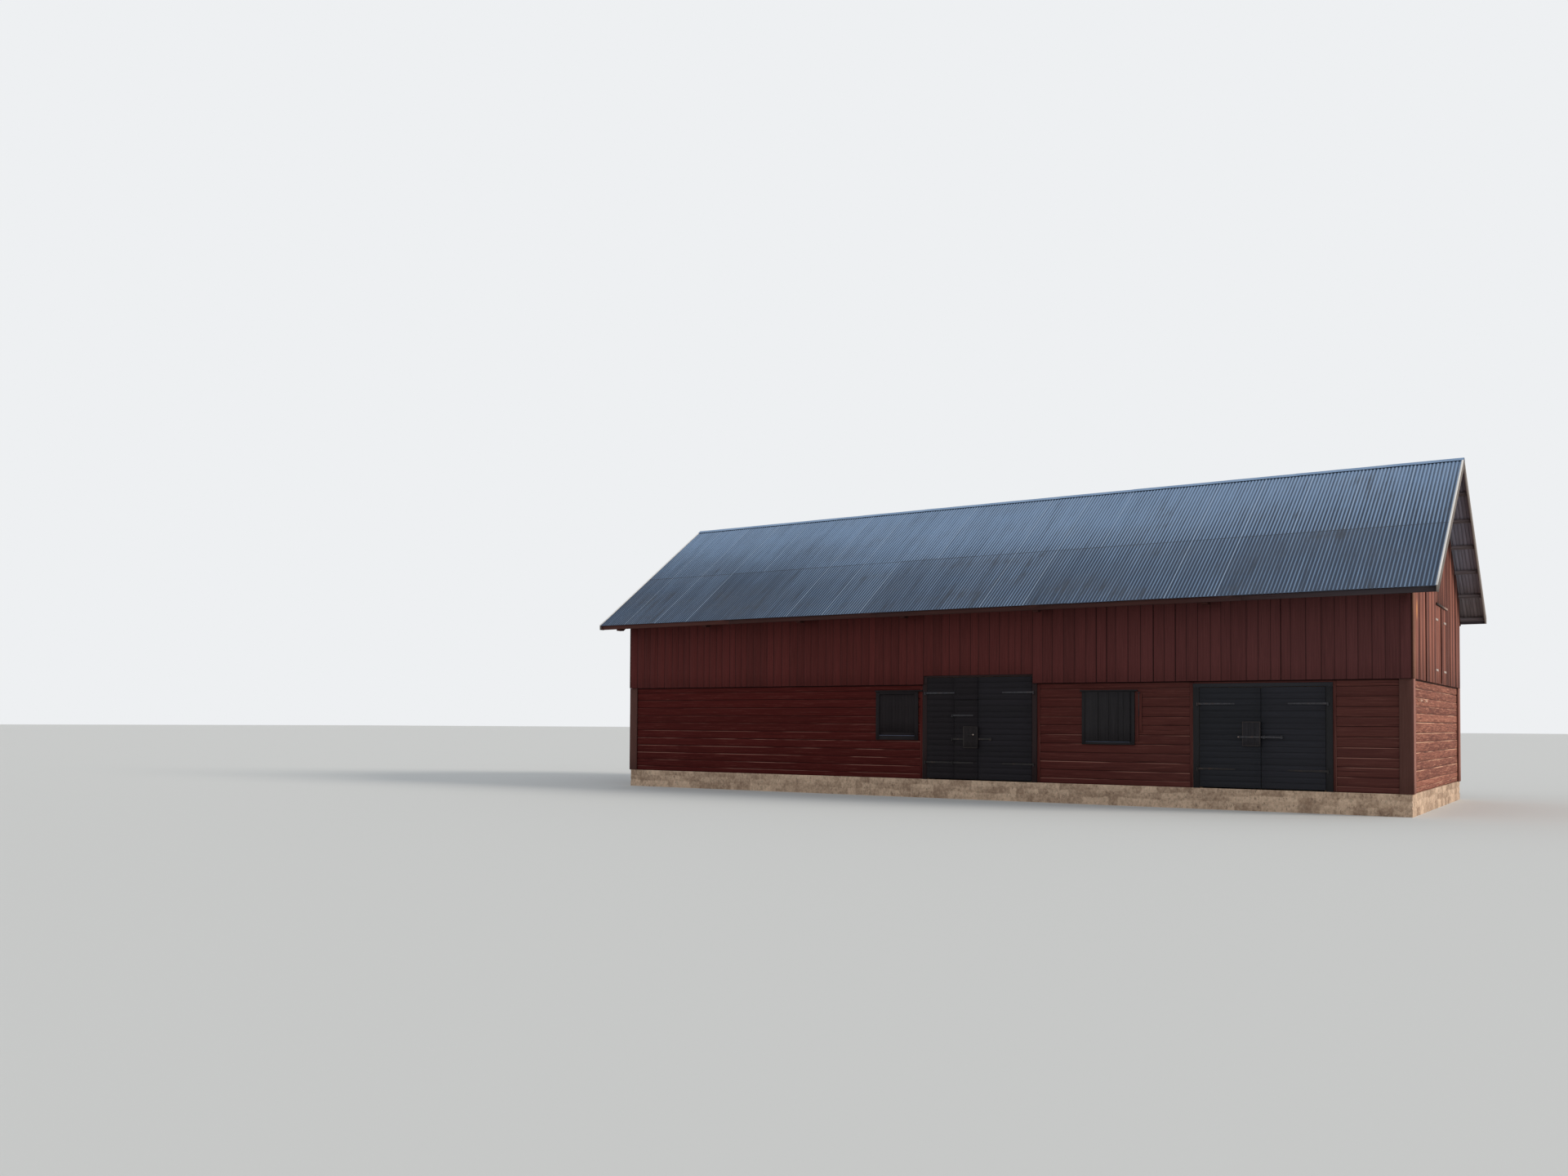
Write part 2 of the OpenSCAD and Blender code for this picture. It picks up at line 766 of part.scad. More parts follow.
// A ring of four boards round a window, with a drip board on top
module window_casing(mid, w, low, frame_w, drip_l, drip_r) {
    z0 = plinth_h + low;
    z1 = z0 + window_h;
    color(casing_c) difference() {
        union() {
            box([mid - w / 2, -log_y - frame_t, z0], [mid + w / 2, -log_y, z1]);
            box([mid - w / 2 - drip_l, -log_y - frame_t - drip_out, z1 - drip_h],
                [mid + w / 2 + drip_r, -log_y, z1]);
        }
        box([mid - w / 2 + frame_w, -log_y - frame_t - over, z0 + frame_w],
            [mid + w / 2 - frame_w, -log_y + over, z1 - frame_w]);
    }
}

module left_window_casing() {
    window_casing(left_window_x, left_window_w, left_window_low, left_frame_w,
                  left_drip_l, left_window_gap - fit);
}

module right_window_casing() {
    window_casing(right_window_x, right_window_w, right_window_low, right_frame_w,
                  right_drip_l, right_drip_r);
}

// The left shutter sits in its casing and stops short of the sill board
module left_window_shutter() {
    low = plinth_h + left_window_low + left_frame_w;
    color(door_c)
        box([left_window_x - left_window_w / 2 + left_frame_w, -log_y - shutter_t / 2,
             low + left_shutter_rise],
            [left_window_x + left_window_w / 2 - left_frame_w, -log_y + shutter_t / 2,
             plinth_h + left_window_low + window_h - left_frame_w]);
}

// The right shutter hangs over the face of its casing
module right_window_shutter() {
    back = -log_y - frame_t;
    low = plinth_h + right_window_low;
    color(door_c)
        box([right_window_x - right_shutter_w / 2, back - shutter_t, low + right_shutter_rise],
            [right_window_x + right_shutter_w / 2, back, low + window_h - right_shutter_drop]);
}

// Two leaves hung in the right gable, from the drip board down to the logs
module hay_door() {
    color(board_c) for (side = [-1, 1]) {
        inner = hay_door_y + side * hay_gap / 2;
        outer = hay_door_y + side * hay_door_w / 2;
        box([frame_x, min(inner, outer), boards_low], [half_l, max(inner, outer), hay_top]);
    }
}

// The drip board over the hay door
module hay_door_hood() {
    hood_y = hay_door_y + hood_shift;
    color(weathered_c)
        box([half_l, hood_y - hood_l / 2, hay_top],
            [half_l + hood_t, hood_y + hood_l / 2, hay_top + hood_h]);
}

module hay_door_irons() {
    color(iron_c) for (side = [-1, 1]) for (drop = [hay_strap_high, hay_strap_low]) {
        edge = hay_door_y + side * (hay_door_w / 2 + hay_strap_past);
        inner = edge - side * hay_strap_l;
        box([half_l, min(inner, edge), hay_top - drop - strap_h / 2],
            [half_l + strap_t, max(inner, edge), hay_top - drop + strap_h / 2]);
    }
}

// Two small knobs on the lower right gable
module gable_knobs() {
    neck_r = 0.6 * knob_r;
    color(weathered_c) for (from_corner = [knob_near, knob_far])
        translate([log_x, -half_w + from_corner, plinth_h + knob_up]) rotate([0, 90, 0]) {
            cylinder(r = neck_r, h = knob_l, $fn = 32);
            translate([0, 0, knob_l - knob_head]) cylinder(r = knob_r, h = knob_head, $fn = 32);
        }
}

// A forged strap with its eye round the hinge axis, running along +X over a leaf's face
module strap(length, mirrored = false) {
    tip_r = 0.34 * strap_h;
    neck_y = axis_out - strap_t - over;
    color(iron_c) mirror([mirrored ? 1 : 0, 0, 0]) difference() {
        union() {
            translate([0, 0, -strap_h / 2]) cylinder(r = eye_r, h = strap_h, $fn = 48);
            box([0.6 * eye_r, neck_y, -strap_h / 2],
                [axis_in + neck_lap, neck_y + strap_t - leaf_proud, strap_h / 2]);
            translate([0, axis_out, 0]) rotate([90, 0, 0]) linear_extrude(strap_t) {
                polygon([[axis_in, -strap_h / 2], [length - tip_r, -tip_r],
                         [length - tip_r, tip_r], [axis_in, strap_h / 2]]);
                translate([length - tip_r, 0]) circle(r = tip_r, $fn = 48);
            }
        }
        translate([0, 0, -strap_h / 2 - over])
            cylinder(r = pin_r + eye_clear, h = strap_h + 2 * over, $fn = 48);
    }
}
// A pin under the strap's eye, on a bracket that runs back to the face that carries it
module pintle(back) {
    top = -strap_h / 2 - eye_rise;
    low = top - bracket_h;
    color(iron_c) {
        translate([0, 0, low]) cylinder(r = pin_r, h = bracket_h + strap_h + pin_r, $fn = 48);
        box([-bracket_w / 2, -bracket_w / 2, low], [bracket_w / 2, back, top]);
    }
}

module hinge_pintles() {
    for (axis = leaf_axes) for (z = [strap_low, axis[1]])
        translate([axis[0], axis_y, plinth_h + z]) pintle(axis_out + leaf_proud);
}

// Boards of a leaf with upright battens behind them, between two edges
module leaf(x0, x1, low, top, batten_low, batten_top, first, last, count) {
    step = count > 1 ? (last - first - batten_w) / (count - 1) : 0;
    color(door_c) {
        box([x0, face_y, low], [x1, face_y + leaf_t, top]);
        for (i = [0 : count - 1])
            box([first + i * step, face_y + leaf_t - over, batten_low],
                [first + i * step + batten_w, face_y + leaf_t + batten_t, batten_top]);
    }
}

module tall_door_left() {
    leaf(tall_left_edge, wicket_l - wicket_gap, leaf_low, tall_top, leaf_low + batten_room,
         tall_top - batten_room, tall_left_edge + batten_room, wicket_l - wicket_gap, 2);
}

// The part of the left leaf above its wicket
module tall_door_left_head() {
    leaf(wicket_l - wicket_gap, tall_meet_l, wicket_top + wicket_gap, tall_top,
         wicket_top + wicket_gap, tall_top - batten_room,
         tall_meet_l - batten_room - batten_w, tall_meet_l - batten_room, 1);
}

module tall_door_left_irons() {
    axis = leaf_axes[0];
    reach_low = wicket_axis - bracket_w - axis[0];
    translate([axis[0], axis_y, plinth_h + axis[1]]) strap(strap_l);
    translate([axis[0], axis_y, plinth_h + strap_low]) strap(reach_low);
    for (z = [strap_low, wicket_strap_mid, wicket_strap_top])
        translate([wicket_axis, axis_y, plinth_h + z]) pintle(axis_out);
}

module tall_door_right() {
    leaf(tall_meet_r, tall_right_edge, leaf_low, tall_top, leaf_low + batten_room,
         tall_top - batten_room, tall_meet_r + batten_room, tall_right_edge - batten_room, 3);
}

// A keeper that holds a bar off a leaf's face
module keeper(x, z, stand_off) {
    half_h = bar_h / 2 + keeper_past;
    box([x - keeper_w / 2, face_y - stand_off - bar_t - keeper_t, z - half_h],
        [x + keeper_w / 2, face_y, z + half_h]);
}

module tall_door_right_irons() {
    axis = leaf_axes[1];
    bar_end = tall_meet_r + tall_bar_reach;
    for (z = [strap_low, axis[1]])
        translate([axis[0], axis_y, plinth_h + z]) strap(strap_l, true);
    color(iron_c) {
        box([tall_meet_r, face_y - bar_t, tall_bar_z - bar_h / 2],
            [bar_end, face_y, tall_bar_z + bar_h / 2]);
        keeper(bar_end - keeper_w, tall_bar_z, 0);
    }
}

module wicket() {
    leaf(wicket_l, tall_meet_l, leaf_low, wicket_top, leaf_low + batten_room,
         wicket_top - batten_room, wicket_l + batten_t, tall_meet_l - batten_room, 2);
}

// Three straps and a lever handle on the lock plate
module wicket_irons() {
    lever_x = tall_meet_l - lever_in;
    lever_y = face_y - plate_t;
    lever_z = plinth_h + lever_up;
    for (z = [strap_low, wicket_strap_top])
        translate([wicket_axis, axis_y, plinth_h + z]) strap(wicket_strap_l);
    translate([wicket_axis, axis_y, plinth_h + wicket_strap_mid])
        strap(tall_meet_l - plate_w - fit - wicket_axis);
    color(iron_c) {
        translate([lever_x, lever_y, lever_z]) rotate([90, 0, 0]) {
            cylinder(r = rose_r, h = strap_t, $fn = 48);
            cylinder(r = lever_r, h = lever_out, $fn = 32);
        }
        translate([lever_x, lever_y - lever_out + lever_r, lever_z]) rotate([0, -90, 0])
            cylinder(r = lever_r, h = lever_l, $fn = 32);
    }
}

// A wooden plate that covers a lock, against the meeting edge
module lock_plate(right, mid_z) {
    color(lock_c) box([right - plate_w, face_y - plate_t, plinth_h + mid_z - plate_tall / 2],
                      [right, face_y, plinth_h + mid_z + plate_tall / 2]);
}

module wicket_lock_plate() {
    lock_plate(tall_meet_l, tall_plate_up);
}

module low_door_left() {
    leaf(low_left_edge, low_meet_l, leaf_low, low_top, leaf_low + batten_room,
         low_top - batten_room, low_left_edge + batten_room, low_meet_l - batten_room, 3);
}

module low_door_right() {
    leaf(low_meet_r, low_right_edge, leaf_low, low_top, leaf_low + batten_room,
         low_top - batten_room, low_meet_r + batten_room, low_right_edge - batten_room, 3);
}

// Straps and the lock bar with its pivot, laid over the lock plate
module low_door_left_irons() {
    axis = leaf_axes[2];
    bar_y = face_y - plate_t;
    pivot_x = low_meet_l - pivot_in;
    for (z = [strap_low, axis[1]])
        translate([axis[0], axis_y, plinth_h + z]) strap(strap_l);
    color(iron_c) {
        box([pivot_x, bar_y - bar_t, low_bar_z - bar_h / 2], [low_meet_l, bar_y, low_bar_z + bar_h / 2]);
        translate([pivot_x, face_y, low_bar_z]) rotate([90, 0, 0])
            cylinder(r = pivot_r, h = plate_t + bar_t + keeper_t, $fn = 48);
    }
}

// Straps and the bar's other end in its keepers
module low_door_right_irons() {
    axis = leaf_axes[3];
    bar_y = face_y - plate_t;
    bar_end = low_meet_r + low_bar_reach;
    for (z = [strap_low, axis[1]])
        translate([axis[0], axis_y, plinth_h + z]) strap(strap_l, true);
    color(iron_c) {
        box([low_meet_r, bar_y - bar_t, low_bar_z - bar_h / 2], [bar_end, bar_y, low_bar_z + bar_h / 2]);
        keeper(low_meet_r + 2 * keeper_w, low_bar_z, plate_t);
        keeper(bar_end - keeper_w, low_bar_z, plate_t);
    }
}

module low_door_lock_plate() {
    lock_plate(low_meet_l, low_plate_up);
}

long_plinths();
gable_plinths();
front_logs_left();
front_logs_middle();
front_logs_right();
front_logs_over_low_door();
back_logs();
gable_logs();
corner_boards();
front_boards_left();
front_boards_over_tall_door();
front_boards_right();
back_boards();
right_gable_boards();
left_gable_boards();
wall_posts();
wall_plates();
tie_beams();
loft_joists();
loft_floor();
rafters_front();
rafters_back();
purlins();
roof_boards();
front_sheets_lower();
front_sheets_upper();
back_sheets_lower();
back_sheets_upper();
ridge_cap();
eave_fascias();
barge_boards();
verge_strips();
tall_door_frame();
tall_door_casing();
low_door_frame();
low_door_casing();
left_window_casing();
left_window_shutter();
right_window_casing();
right_window_shutter();
hay_door();
hay_door_hood();
hay_door_irons();
gable_knobs();
hinge_pintles();
tall_door_left();
tall_door_left_head();
tall_door_left_irons();
tall_door_right();
tall_door_right_irons();
wicket();
wicket_irons();
wicket_lock_plate();
low_door_left();
low_door_left_irons();
low_door_right();
low_door_right_irons();
low_door_lock_plate();
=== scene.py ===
# %% [markdown]
# # A red barn of squared logs and boards
#
# The barn has a storey of squared logs on a stone plinth, a boarded storey above it, and a
# corrugated roof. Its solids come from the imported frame; this lesson dresses them. Every board,
# log, stone and roof sheet is a surface worked out as whole numpy arrays, and every finish is
# a small network of nodes.

import math

import bpy
import numpy as np
from mathutils import Matrix, Vector


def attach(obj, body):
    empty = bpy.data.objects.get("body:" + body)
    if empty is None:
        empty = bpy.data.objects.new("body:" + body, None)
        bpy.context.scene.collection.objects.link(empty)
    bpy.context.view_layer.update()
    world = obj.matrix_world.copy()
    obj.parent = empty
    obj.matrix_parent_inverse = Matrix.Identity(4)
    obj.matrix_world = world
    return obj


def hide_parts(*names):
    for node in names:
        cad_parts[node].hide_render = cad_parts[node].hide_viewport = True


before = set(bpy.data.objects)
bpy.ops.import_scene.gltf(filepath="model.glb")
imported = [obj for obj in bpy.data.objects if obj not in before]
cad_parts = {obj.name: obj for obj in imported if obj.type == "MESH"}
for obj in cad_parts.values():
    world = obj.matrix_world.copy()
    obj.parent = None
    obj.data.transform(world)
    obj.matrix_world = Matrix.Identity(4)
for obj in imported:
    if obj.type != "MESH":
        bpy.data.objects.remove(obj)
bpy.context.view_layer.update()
rng = np.random.default_rng(1887)

# %% [markdown]
# ## Camera
#
# The camera stands right of the barn and far enough away to see both walls. The place and
# the angles come from the barn's own edges. The camera is hardly tilted: the picture was moved
# up instead, which is what a camera's shift does, so that upright edges stay upright.

# %% Camera
EYE = (13.739, -31.841, 1.774)
YAW, TILT, ROLL = 0.5859, 0.0279, 0.0059
FOCAL_PIXELS, IMAGE_WIDTH, SHIFT_PIXELS = 1584.5, 1920.0, 121.3
SENSOR, FAR_END = 36.0, 500.0

ahead = Vector((-math.sin(YAW) * math.cos(TILT), math.cos(YAW) * math.cos(TILT), math.sin(TILT)))
level = Vector((math.cos(YAW), math.sin(YAW), 0.0))
upright = level.cross(ahead)
right = level * math.cos(ROLL) + upright * math.sin(ROLL)
up = upright * math.cos(ROLL) - level * math.sin(ROLL)
camera_data = bpy.data.cameras.new("camera")
camera_data.sensor_width = SENSOR
camera_data.lens = SENSOR * FOCAL_PIXELS / IMAGE_WIDTH
camera_data.shift_y = SHIFT_PIXELS / IMAGE_WIDTH
camera_data.clip_end = FAR_END
camera = bpy.data.objects.new("camera", camera_data)
turn = Matrix((right, up, -ahead)).transposed().to_4x4()
camera.matrix_world = Matrix.Translation(EYE) @ turn
bpy.context.scene.collection.objects.link(camera)
bpy.context.scene.camera = camera
bpy.context.scene.view_settings.view_transform = "Standard"
print("lens:", round(camera_data.lens, 2), "mm")

# %% [markdown]
# ## Arithmetic on material nodes
#
# A finish is easier to read as an expression than as a web of wires. `Flow` wraps an output
# socket, so that `1 - mask` or `streak * 0.4` adds the Math node by itself. `Nodes` holds any
# node tree, and its `node` method adds a node from its type, settings and sockets. `Finish` is
# the tree of one material, with the few recipes that every finish here needs.

# %% Flow and Nodes


class Flow:
    """A value on its way through a tree of nodes. Arithmetic on it adds Math nodes."""

    def __init__(self, nodes, socket):
        self.nodes = nodes
        self.socket = socket

    def math(self, operation, first, second):
        """One Math node of this operation."""
        return self.nodes.node("ShaderNodeMath", {"operation": operation}, {0: first, 1: second})

    def __add__(self, other):
        return self.math("ADD", self, other)

    def __sub__(self, other):
        return self.math("SUBTRACT", self, other)

    def __rsub__(self, other):
        return self.math("SUBTRACT", other, self)

    def __abs__(self):
        return self.math("ABSOLUTE", self, 0.0)

    def __mul__(self, other):
        return self.math("MULTIPLY", self, other)

    __radd__ = __add__
    __rmul__ = __mul__


class Nodes:
    """A tree of nodes, emptied and then filled node by node."""

    def __init__(self, tree):
        self.tree = tree
        tree.nodes.clear()

    def node(self, kind, settings=None, sockets=None, output=0):
        """Adds a node of any kind: its settings first, then its sockets' values or links."""
        made = self.tree.nodes.new(kind)
        for key, value in (settings or {}).items():
            setattr(made, key, value)
        for key, value in (sockets or {}).items():
            self.feed(made.inputs[key], value)
        return Flow(self, made.outputs[output])

    def feed(self, socket, value):
        """Links a flow to a socket, or writes a plain value on it."""
        if isinstance(value, Flow):
            self.tree.links.new(value.socket, socket)
        else:
            socket.default_value = value


print("flows and nodes are ready")

# %% Finish


class Finish(Nodes):
    """One material, built round one shader."""

    def __init__(self, name):
        self.material = bpy.data.materials.new(name)
        self.material.use_nodes = True
        super().__init__(self.material.node_tree)
        self.shader = self.tree.nodes.new("ShaderNodeBsdfPrincipled")
        end = self.tree.nodes.new("ShaderNodeOutputMaterial")
        self.tree.links.new(self.shader.outputs[0], end.inputs[0])

    def surface(self, **sockets):
        """Feeds the shader's own sockets; a name's underscores stand for spaces."""
        for key, value in sockets.items():
            self.feed(self.shader.inputs[key.replace("_", " ")], value)
        return self.material

    def place(self):
        """Object coordinates."""
        return self.node("ShaderNodeTexCoord", output=3)

    def attribute(self, name, vector=False):
        """A number or a vector that rides on the mesh."""
        return self.node("ShaderNodeAttribute", {"attribute_name": name}, output=1 if vector else 2)

    def axis(self, vector, index):
        """One part of a vector: 0, 1 or 2 for X, Y or Z."""
        return self.node("ShaderNodeSeparateXYZ", None, {0: vector}, output=index)

    def noise(self, where, stretch, detail=3.0, roughness=0.55):
        """Noise with its own grain size along each axis: stretch is spots a metre."""
        scaled = self.node("ShaderNodeMapping", None, {"Vector": where, "Scale": stretch})
        sockets = {"Vector": scaled, "Scale": 1.0, "Detail": detail, "Roughness": roughness}
        return self.node("ShaderNodeTexNoise", None, sockets)

    def mask(self, value, low, high):
        """0 below low, 1 above high, smooth between; low above high turns it round."""
        sockets = {"Value": value, "From Min": low, "From Max": high}
        return self.node("ShaderNodeMapRange", {"interpolation_type": "SMOOTHSTEP"}, sockets)

    def mix(self, share, first, second):
        """The first colour at share 0, the second at share 1."""
        return self.node("ShaderNodeMix", {"data_type": "RGBA"}, {0: share, 6: first, 7: second}, output=2)

    def rough(self, noise, low, high):
        """Roughness from low to high by a noise."""
        return self.mask(noise, 0.2, 0.8) * (high - low) + low

    def bump(self, height, distance):
        """Small relief: distance is its depth in metres."""
        return self.node("ShaderNodeBump", None, {"Height": height, "Distance": distance})


def paint(red, green, blue):
    """A colour from screen values 0 to 255, made linear by the usual screen curve."""
    screen = np.array([red, green, blue]) / 255.0
    linear = np.where(screen < 0.04045, screen / 12.92, ((screen + 0.055) / 1.055) ** 2.4)
    return (*linear.tolist(), 1.0)


print("paint(128, 128, 128) =", [round(v, 3) for v in paint(128, 128, 128)])

# %% [markdown]
# ## Floor, sky and sun
#
# The floor is one large pale sheet that takes the barn's shadow. The sky has two strengths: the
# barn is lit by a bluish one, and the camera and the reflections see a pale one. They could be
# two worlds and two renders, but Light Path's ray types choose between them in one. The sun is
# wide, so that its shadows are soft.

# %% Floor
FLOOR_REACH = 400.0

floor_finish = Finish("pale_floor")
floor_finish.surface(Base_Color=paint(216, 216, 214), Roughness=0.95, Specular_IOR_Level=0.1)
floor_mesh = bpy.data.meshes.new("floor")
corners = [(-1, -1), (1, -1), (1, 1), (-1, 1)]
floor_mesh.from_pydata([(FLOOR_REACH * x, FLOOR_REACH * y, 0.0) for x, y in corners], [], [(0, 1, 2, 3)])
floor_mesh.materials.append(floor_finish.material)
floor = bpy.data.objects.new("floor", floor_mesh)
bpy.context.scene.collection.objects.link(floor)
print("floor:", 2 * FLOOR_REACH, "m wide")

# %% Sky and sun
SKY_LIGHT = 0.62
SUN_LIGHT = 2.0
SUN_FROM = Vector((0.86, 0.24, 0.42))
SUN_SOFTNESS = 0.35

world = bpy.data.worlds.new("pale_sky")
bpy.context.scene.world = world
world.use_nodes = True
sky = Nodes(world.node_tree)
ray = sky.tree.nodes.new("ShaderNodeLightPath")
by_camera, by_gloss, through = (Flow(sky, ray.outputs[f"Is {kind} Ray"])
                                for kind in ("Camera", "Glossy", "Transmission"))
seen = by_camera.math("MAXIMUM", by_camera, by_gloss)
seen = seen.math("MAXIMUM", seen, through)
lamp_sky = sky.node("ShaderNodeBackground", None, {"Color": (0.90, 0.95, 1.0, 1.0), "Strength": SKY_LIGHT})
shown_sky = sky.node("ShaderNodeBackground", None, {"Color": paint(238, 240, 242)})
either_sky = sky.node("ShaderNodeMixShader", None, {0: seen, 1: lamp_sky, 2: shown_sky})
sky.feed(sky.tree.nodes.new("ShaderNodeOutputWorld").inputs[0], either_sky)

sun_data = bpy.data.lights.new("sun", "SUN")
sun_data.energy = SUN_LIGHT
sun_data.angle = SUN_SOFTNESS
sun_data.color = (1.0, 0.93, 0.84)
sun = bpy.data.objects.new("sun", sun_data)
sun.rotation_euler = SUN_FROM.to_track_quat("Z", "Y").to_euler()
bpy.context.scene.collection.objects.link(sun)
print("sky", SKY_LIGHT, "and sun", SUN_LIGHT)

# %% [markdown]
# ## Tubes: one way to make logs, boards and sheets
#
# A log, a board, a rafter and even a corrugated sheet are all the same kind of thing: a closed
# profile carried along a path. So one function makes them all. It takes an array of rings, lays
# four-sided faces between neighbouring rings, and closes both ends with strips of faces that
# pair the profile's first half with its second. Three numbers ride on every point: the piece's
# own tone, where the point lies across its piece, and its place along the grain.

# %% Tubes


def tube_faces(count, stations, around):
    """Faces of many tubes: point (i, j) joins (i, j+1), (i+1, j+1) and (i+1, j), and each end
    joins point j to its partner, which is counted from the profile's other end."""
    ring = np.arange(around)
    start = np.arange(stations - 1)[:, None] * around
    beside = (ring + 1) % around
    sides = np.stack([start + ring, start + beside, start + around + beside, start + around + ring], -1)
    half = np.arange(around // 2 - 1)
    near = np.stack([half, around - 1 - half, around - 2 - half, half + 1], -1)
    far = np.stack([half, half + 1, around - 2 - half, around - 1 - half], -1)
    one = np.concatenate([sides.reshape(-1, 4), near, far + (stations - 1) * around])
    return one[None] + (np.arange(count) * stations * around)[:, None, None]


def tubes(rings, tone=None, lap=0.0, grain=None):
    """rings holds points as [tube, station, place on the profile, xyz]. A tube whose volume
    comes out negative has its faces turned round, so that they all point outwards."""
    shape = rings.shape[:3]
    points = rings.reshape(-1, 3)
    faces = tube_faces(*shape)
    middle = rings.mean(axis=(1, 2))[:, None]
    a, b, c, d = (points[faces[..., k]] - middle for k in range(4))
    volume = (a * (np.cross(b, c) + np.cross(c, d))).sum(axis=(1, 2))
    faces[volume < 0] = faces[volume < 0][..., ::-1]
    tone = rng.random(shape[0]) if tone is None else np.asarray(tone)
    grain = rings if grain is None else grain
    return {"points": points, "faces": faces.reshape(-1, 4),
            "tone": np.broadcast_to(tone[:, None, None], shape).ravel(),
            "lap": np.broadcast_to(lap, shape).ravel(), "grain": grain.reshape(-1, 3)}


print("faces of one tube of 4 rings of 6 points:", len(tube_faces(1, 4, 6)[0]))

# %% [markdown]
# ## From arrays to a piece
#
# A wall of sixty boards is one object, not sixty: its boards are batches of one mesh, which
# foreach_set fills at once. The same step says what the frame has to know, which is the body
# the piece rides on and the CAD nodes that it stands for, and it gives the piece its material.

# %% Making a piece


def make_piece(name, batches, material, body="barn", nodes=(), smooth=None):
    """Puts batches of tubes into one object. It rides on a body and stands for CAD nodes."""
    offsets = np.cumsum([0] + [len(batch["points"]) for batch in batches[:-1]])
    points = np.concatenate([batch["points"] for batch in batches])
    faces = np.concatenate([batch["faces"] + shift for batch, shift in zip(batches, offsets)])
    mesh = bpy.data.meshes.new(name)
    mesh.vertices.add(len(points))
    mesh.vertices.foreach_set("co", points.astype(np.float32).ravel())
    mesh.loops.add(faces.size)
    mesh.loops.foreach_set("vertex_index", faces.astype(np.int32).ravel())
    mesh.polygons.add(len(faces))
    mesh.polygons.foreach_set("loop_start", np.arange(len(faces), dtype=np.int32) * 4)
    mesh.update(calc_edges=True)
    for label, kind, field in (("tone", "FLOAT", "value"), ("lap", "FLOAT", "value"),
                               ("grain", "FLOAT_VECTOR", "vector")):
        layer = mesh.attributes.new(label, kind, "POINT")
        values = np.concatenate([batch[label] for batch in batches])
        layer.data.foreach_set(field, values.astype(np.float32).ravel())
    if smooth is not None:
        mesh.shade_smooth()
        mesh.set_sharp_from_angle(angle=smooth)
    mesh.materials.append(material)
    piece = bpy.data.objects.new(name, mesh)
    bpy.context.scene.collection.objects.link(piece)
    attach(piece, body)
    if nodes:
        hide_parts(*nodes)
    print(f"{name}: {2 * len(faces)} triangles")


def dress(material, *nodes):
    """Gives CAD nodes a finish. Their meshes stay as they are."""
    for node in nodes:
        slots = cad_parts[node].data.materials
        slots.clear()
        slots.append(material)
    print(material.name, "on", ", ".join(nodes))


# %% [markdown]
# ## Sawn and hewn timber
#
# Every plank has its arrises planed off by a few millimetres, drifts a little from its line and
# has its own tone. A bevelled and bent cube could look the same, but a profile written as signs
# and shifts serves planks of any width and depth in one array. Grooved boards are a little
# wider in the middle of their thickness, so that they close the joint behind its dark V. The
# hewn profile's faces have a slight belly.

# %% Profiles


def level_profile(rows):
    """Rows of the left side, from one face to the other, as (sign across, sign through, shift
    across, shift through, belly); the right side is their mirror image in reverse order, so
    that each point's partner in an end cap lies at the same level."""
    left = np.array(rows, float)
    mirrored = left[::-1] * np.array([-1, 1, -1, 1, 1])
    return np.concatenate([left, mirrored])


SQUARE = level_profile([(-1, -1, 1, 0, 0), (-1, -1, 0, 1, 0), (-1, 1, 0, -1, 0), (-1, 1, 1, 0, 0)])
GROOVED = level_profile([(-1, -1, 1, 0, 0), (-1, -1, -0.3, 1, 0), (-1, 1, -0.3, -1, 0), (-1, 1, 1, 0, 0)])
HEWN = level_profile([(-0.35, -1, 0, 0, -1), (-1, -1, 1, 0, 0), (-1, -1, -0.3, 1, 0),
                      (-1, 1, -0.3, -1, 0), (-1, 1, 1, 0, 0), (-0.35, 1, 0, 0, 1)])
print("points round a board and a log:", len(GROOVED), len(HEWN))

# %% [markdown]
# ## Planks and bars
#
# `planks` lays many planks between two arrays of points. An end that isn't square is a function
# that moves each point of the profile along the plank. Most pieces of a barn run along an axis,
# so `bars` makes planks from boxes, and `between` turns a row of joints into their neighbours.

# %% Planks
X, Y, Z = 0, 1, 2
HAIR = 0.0005
GRAIN_SHIFT = 40.0


def drift(along, count, size):
    """A slow wander for each plank: a sum of sines of the length, with random phases."""
    total = 0.0
    for wave in (0.9, 2.1, 4.3):
        phase = rng.random((count, 1)) * 2 * np.pi
        total = total + np.sin(along * wave + phase) / wave
    return size * total


def square_end(a, b):
    """No shift anywhere on the profile."""
    return 0.0 * a


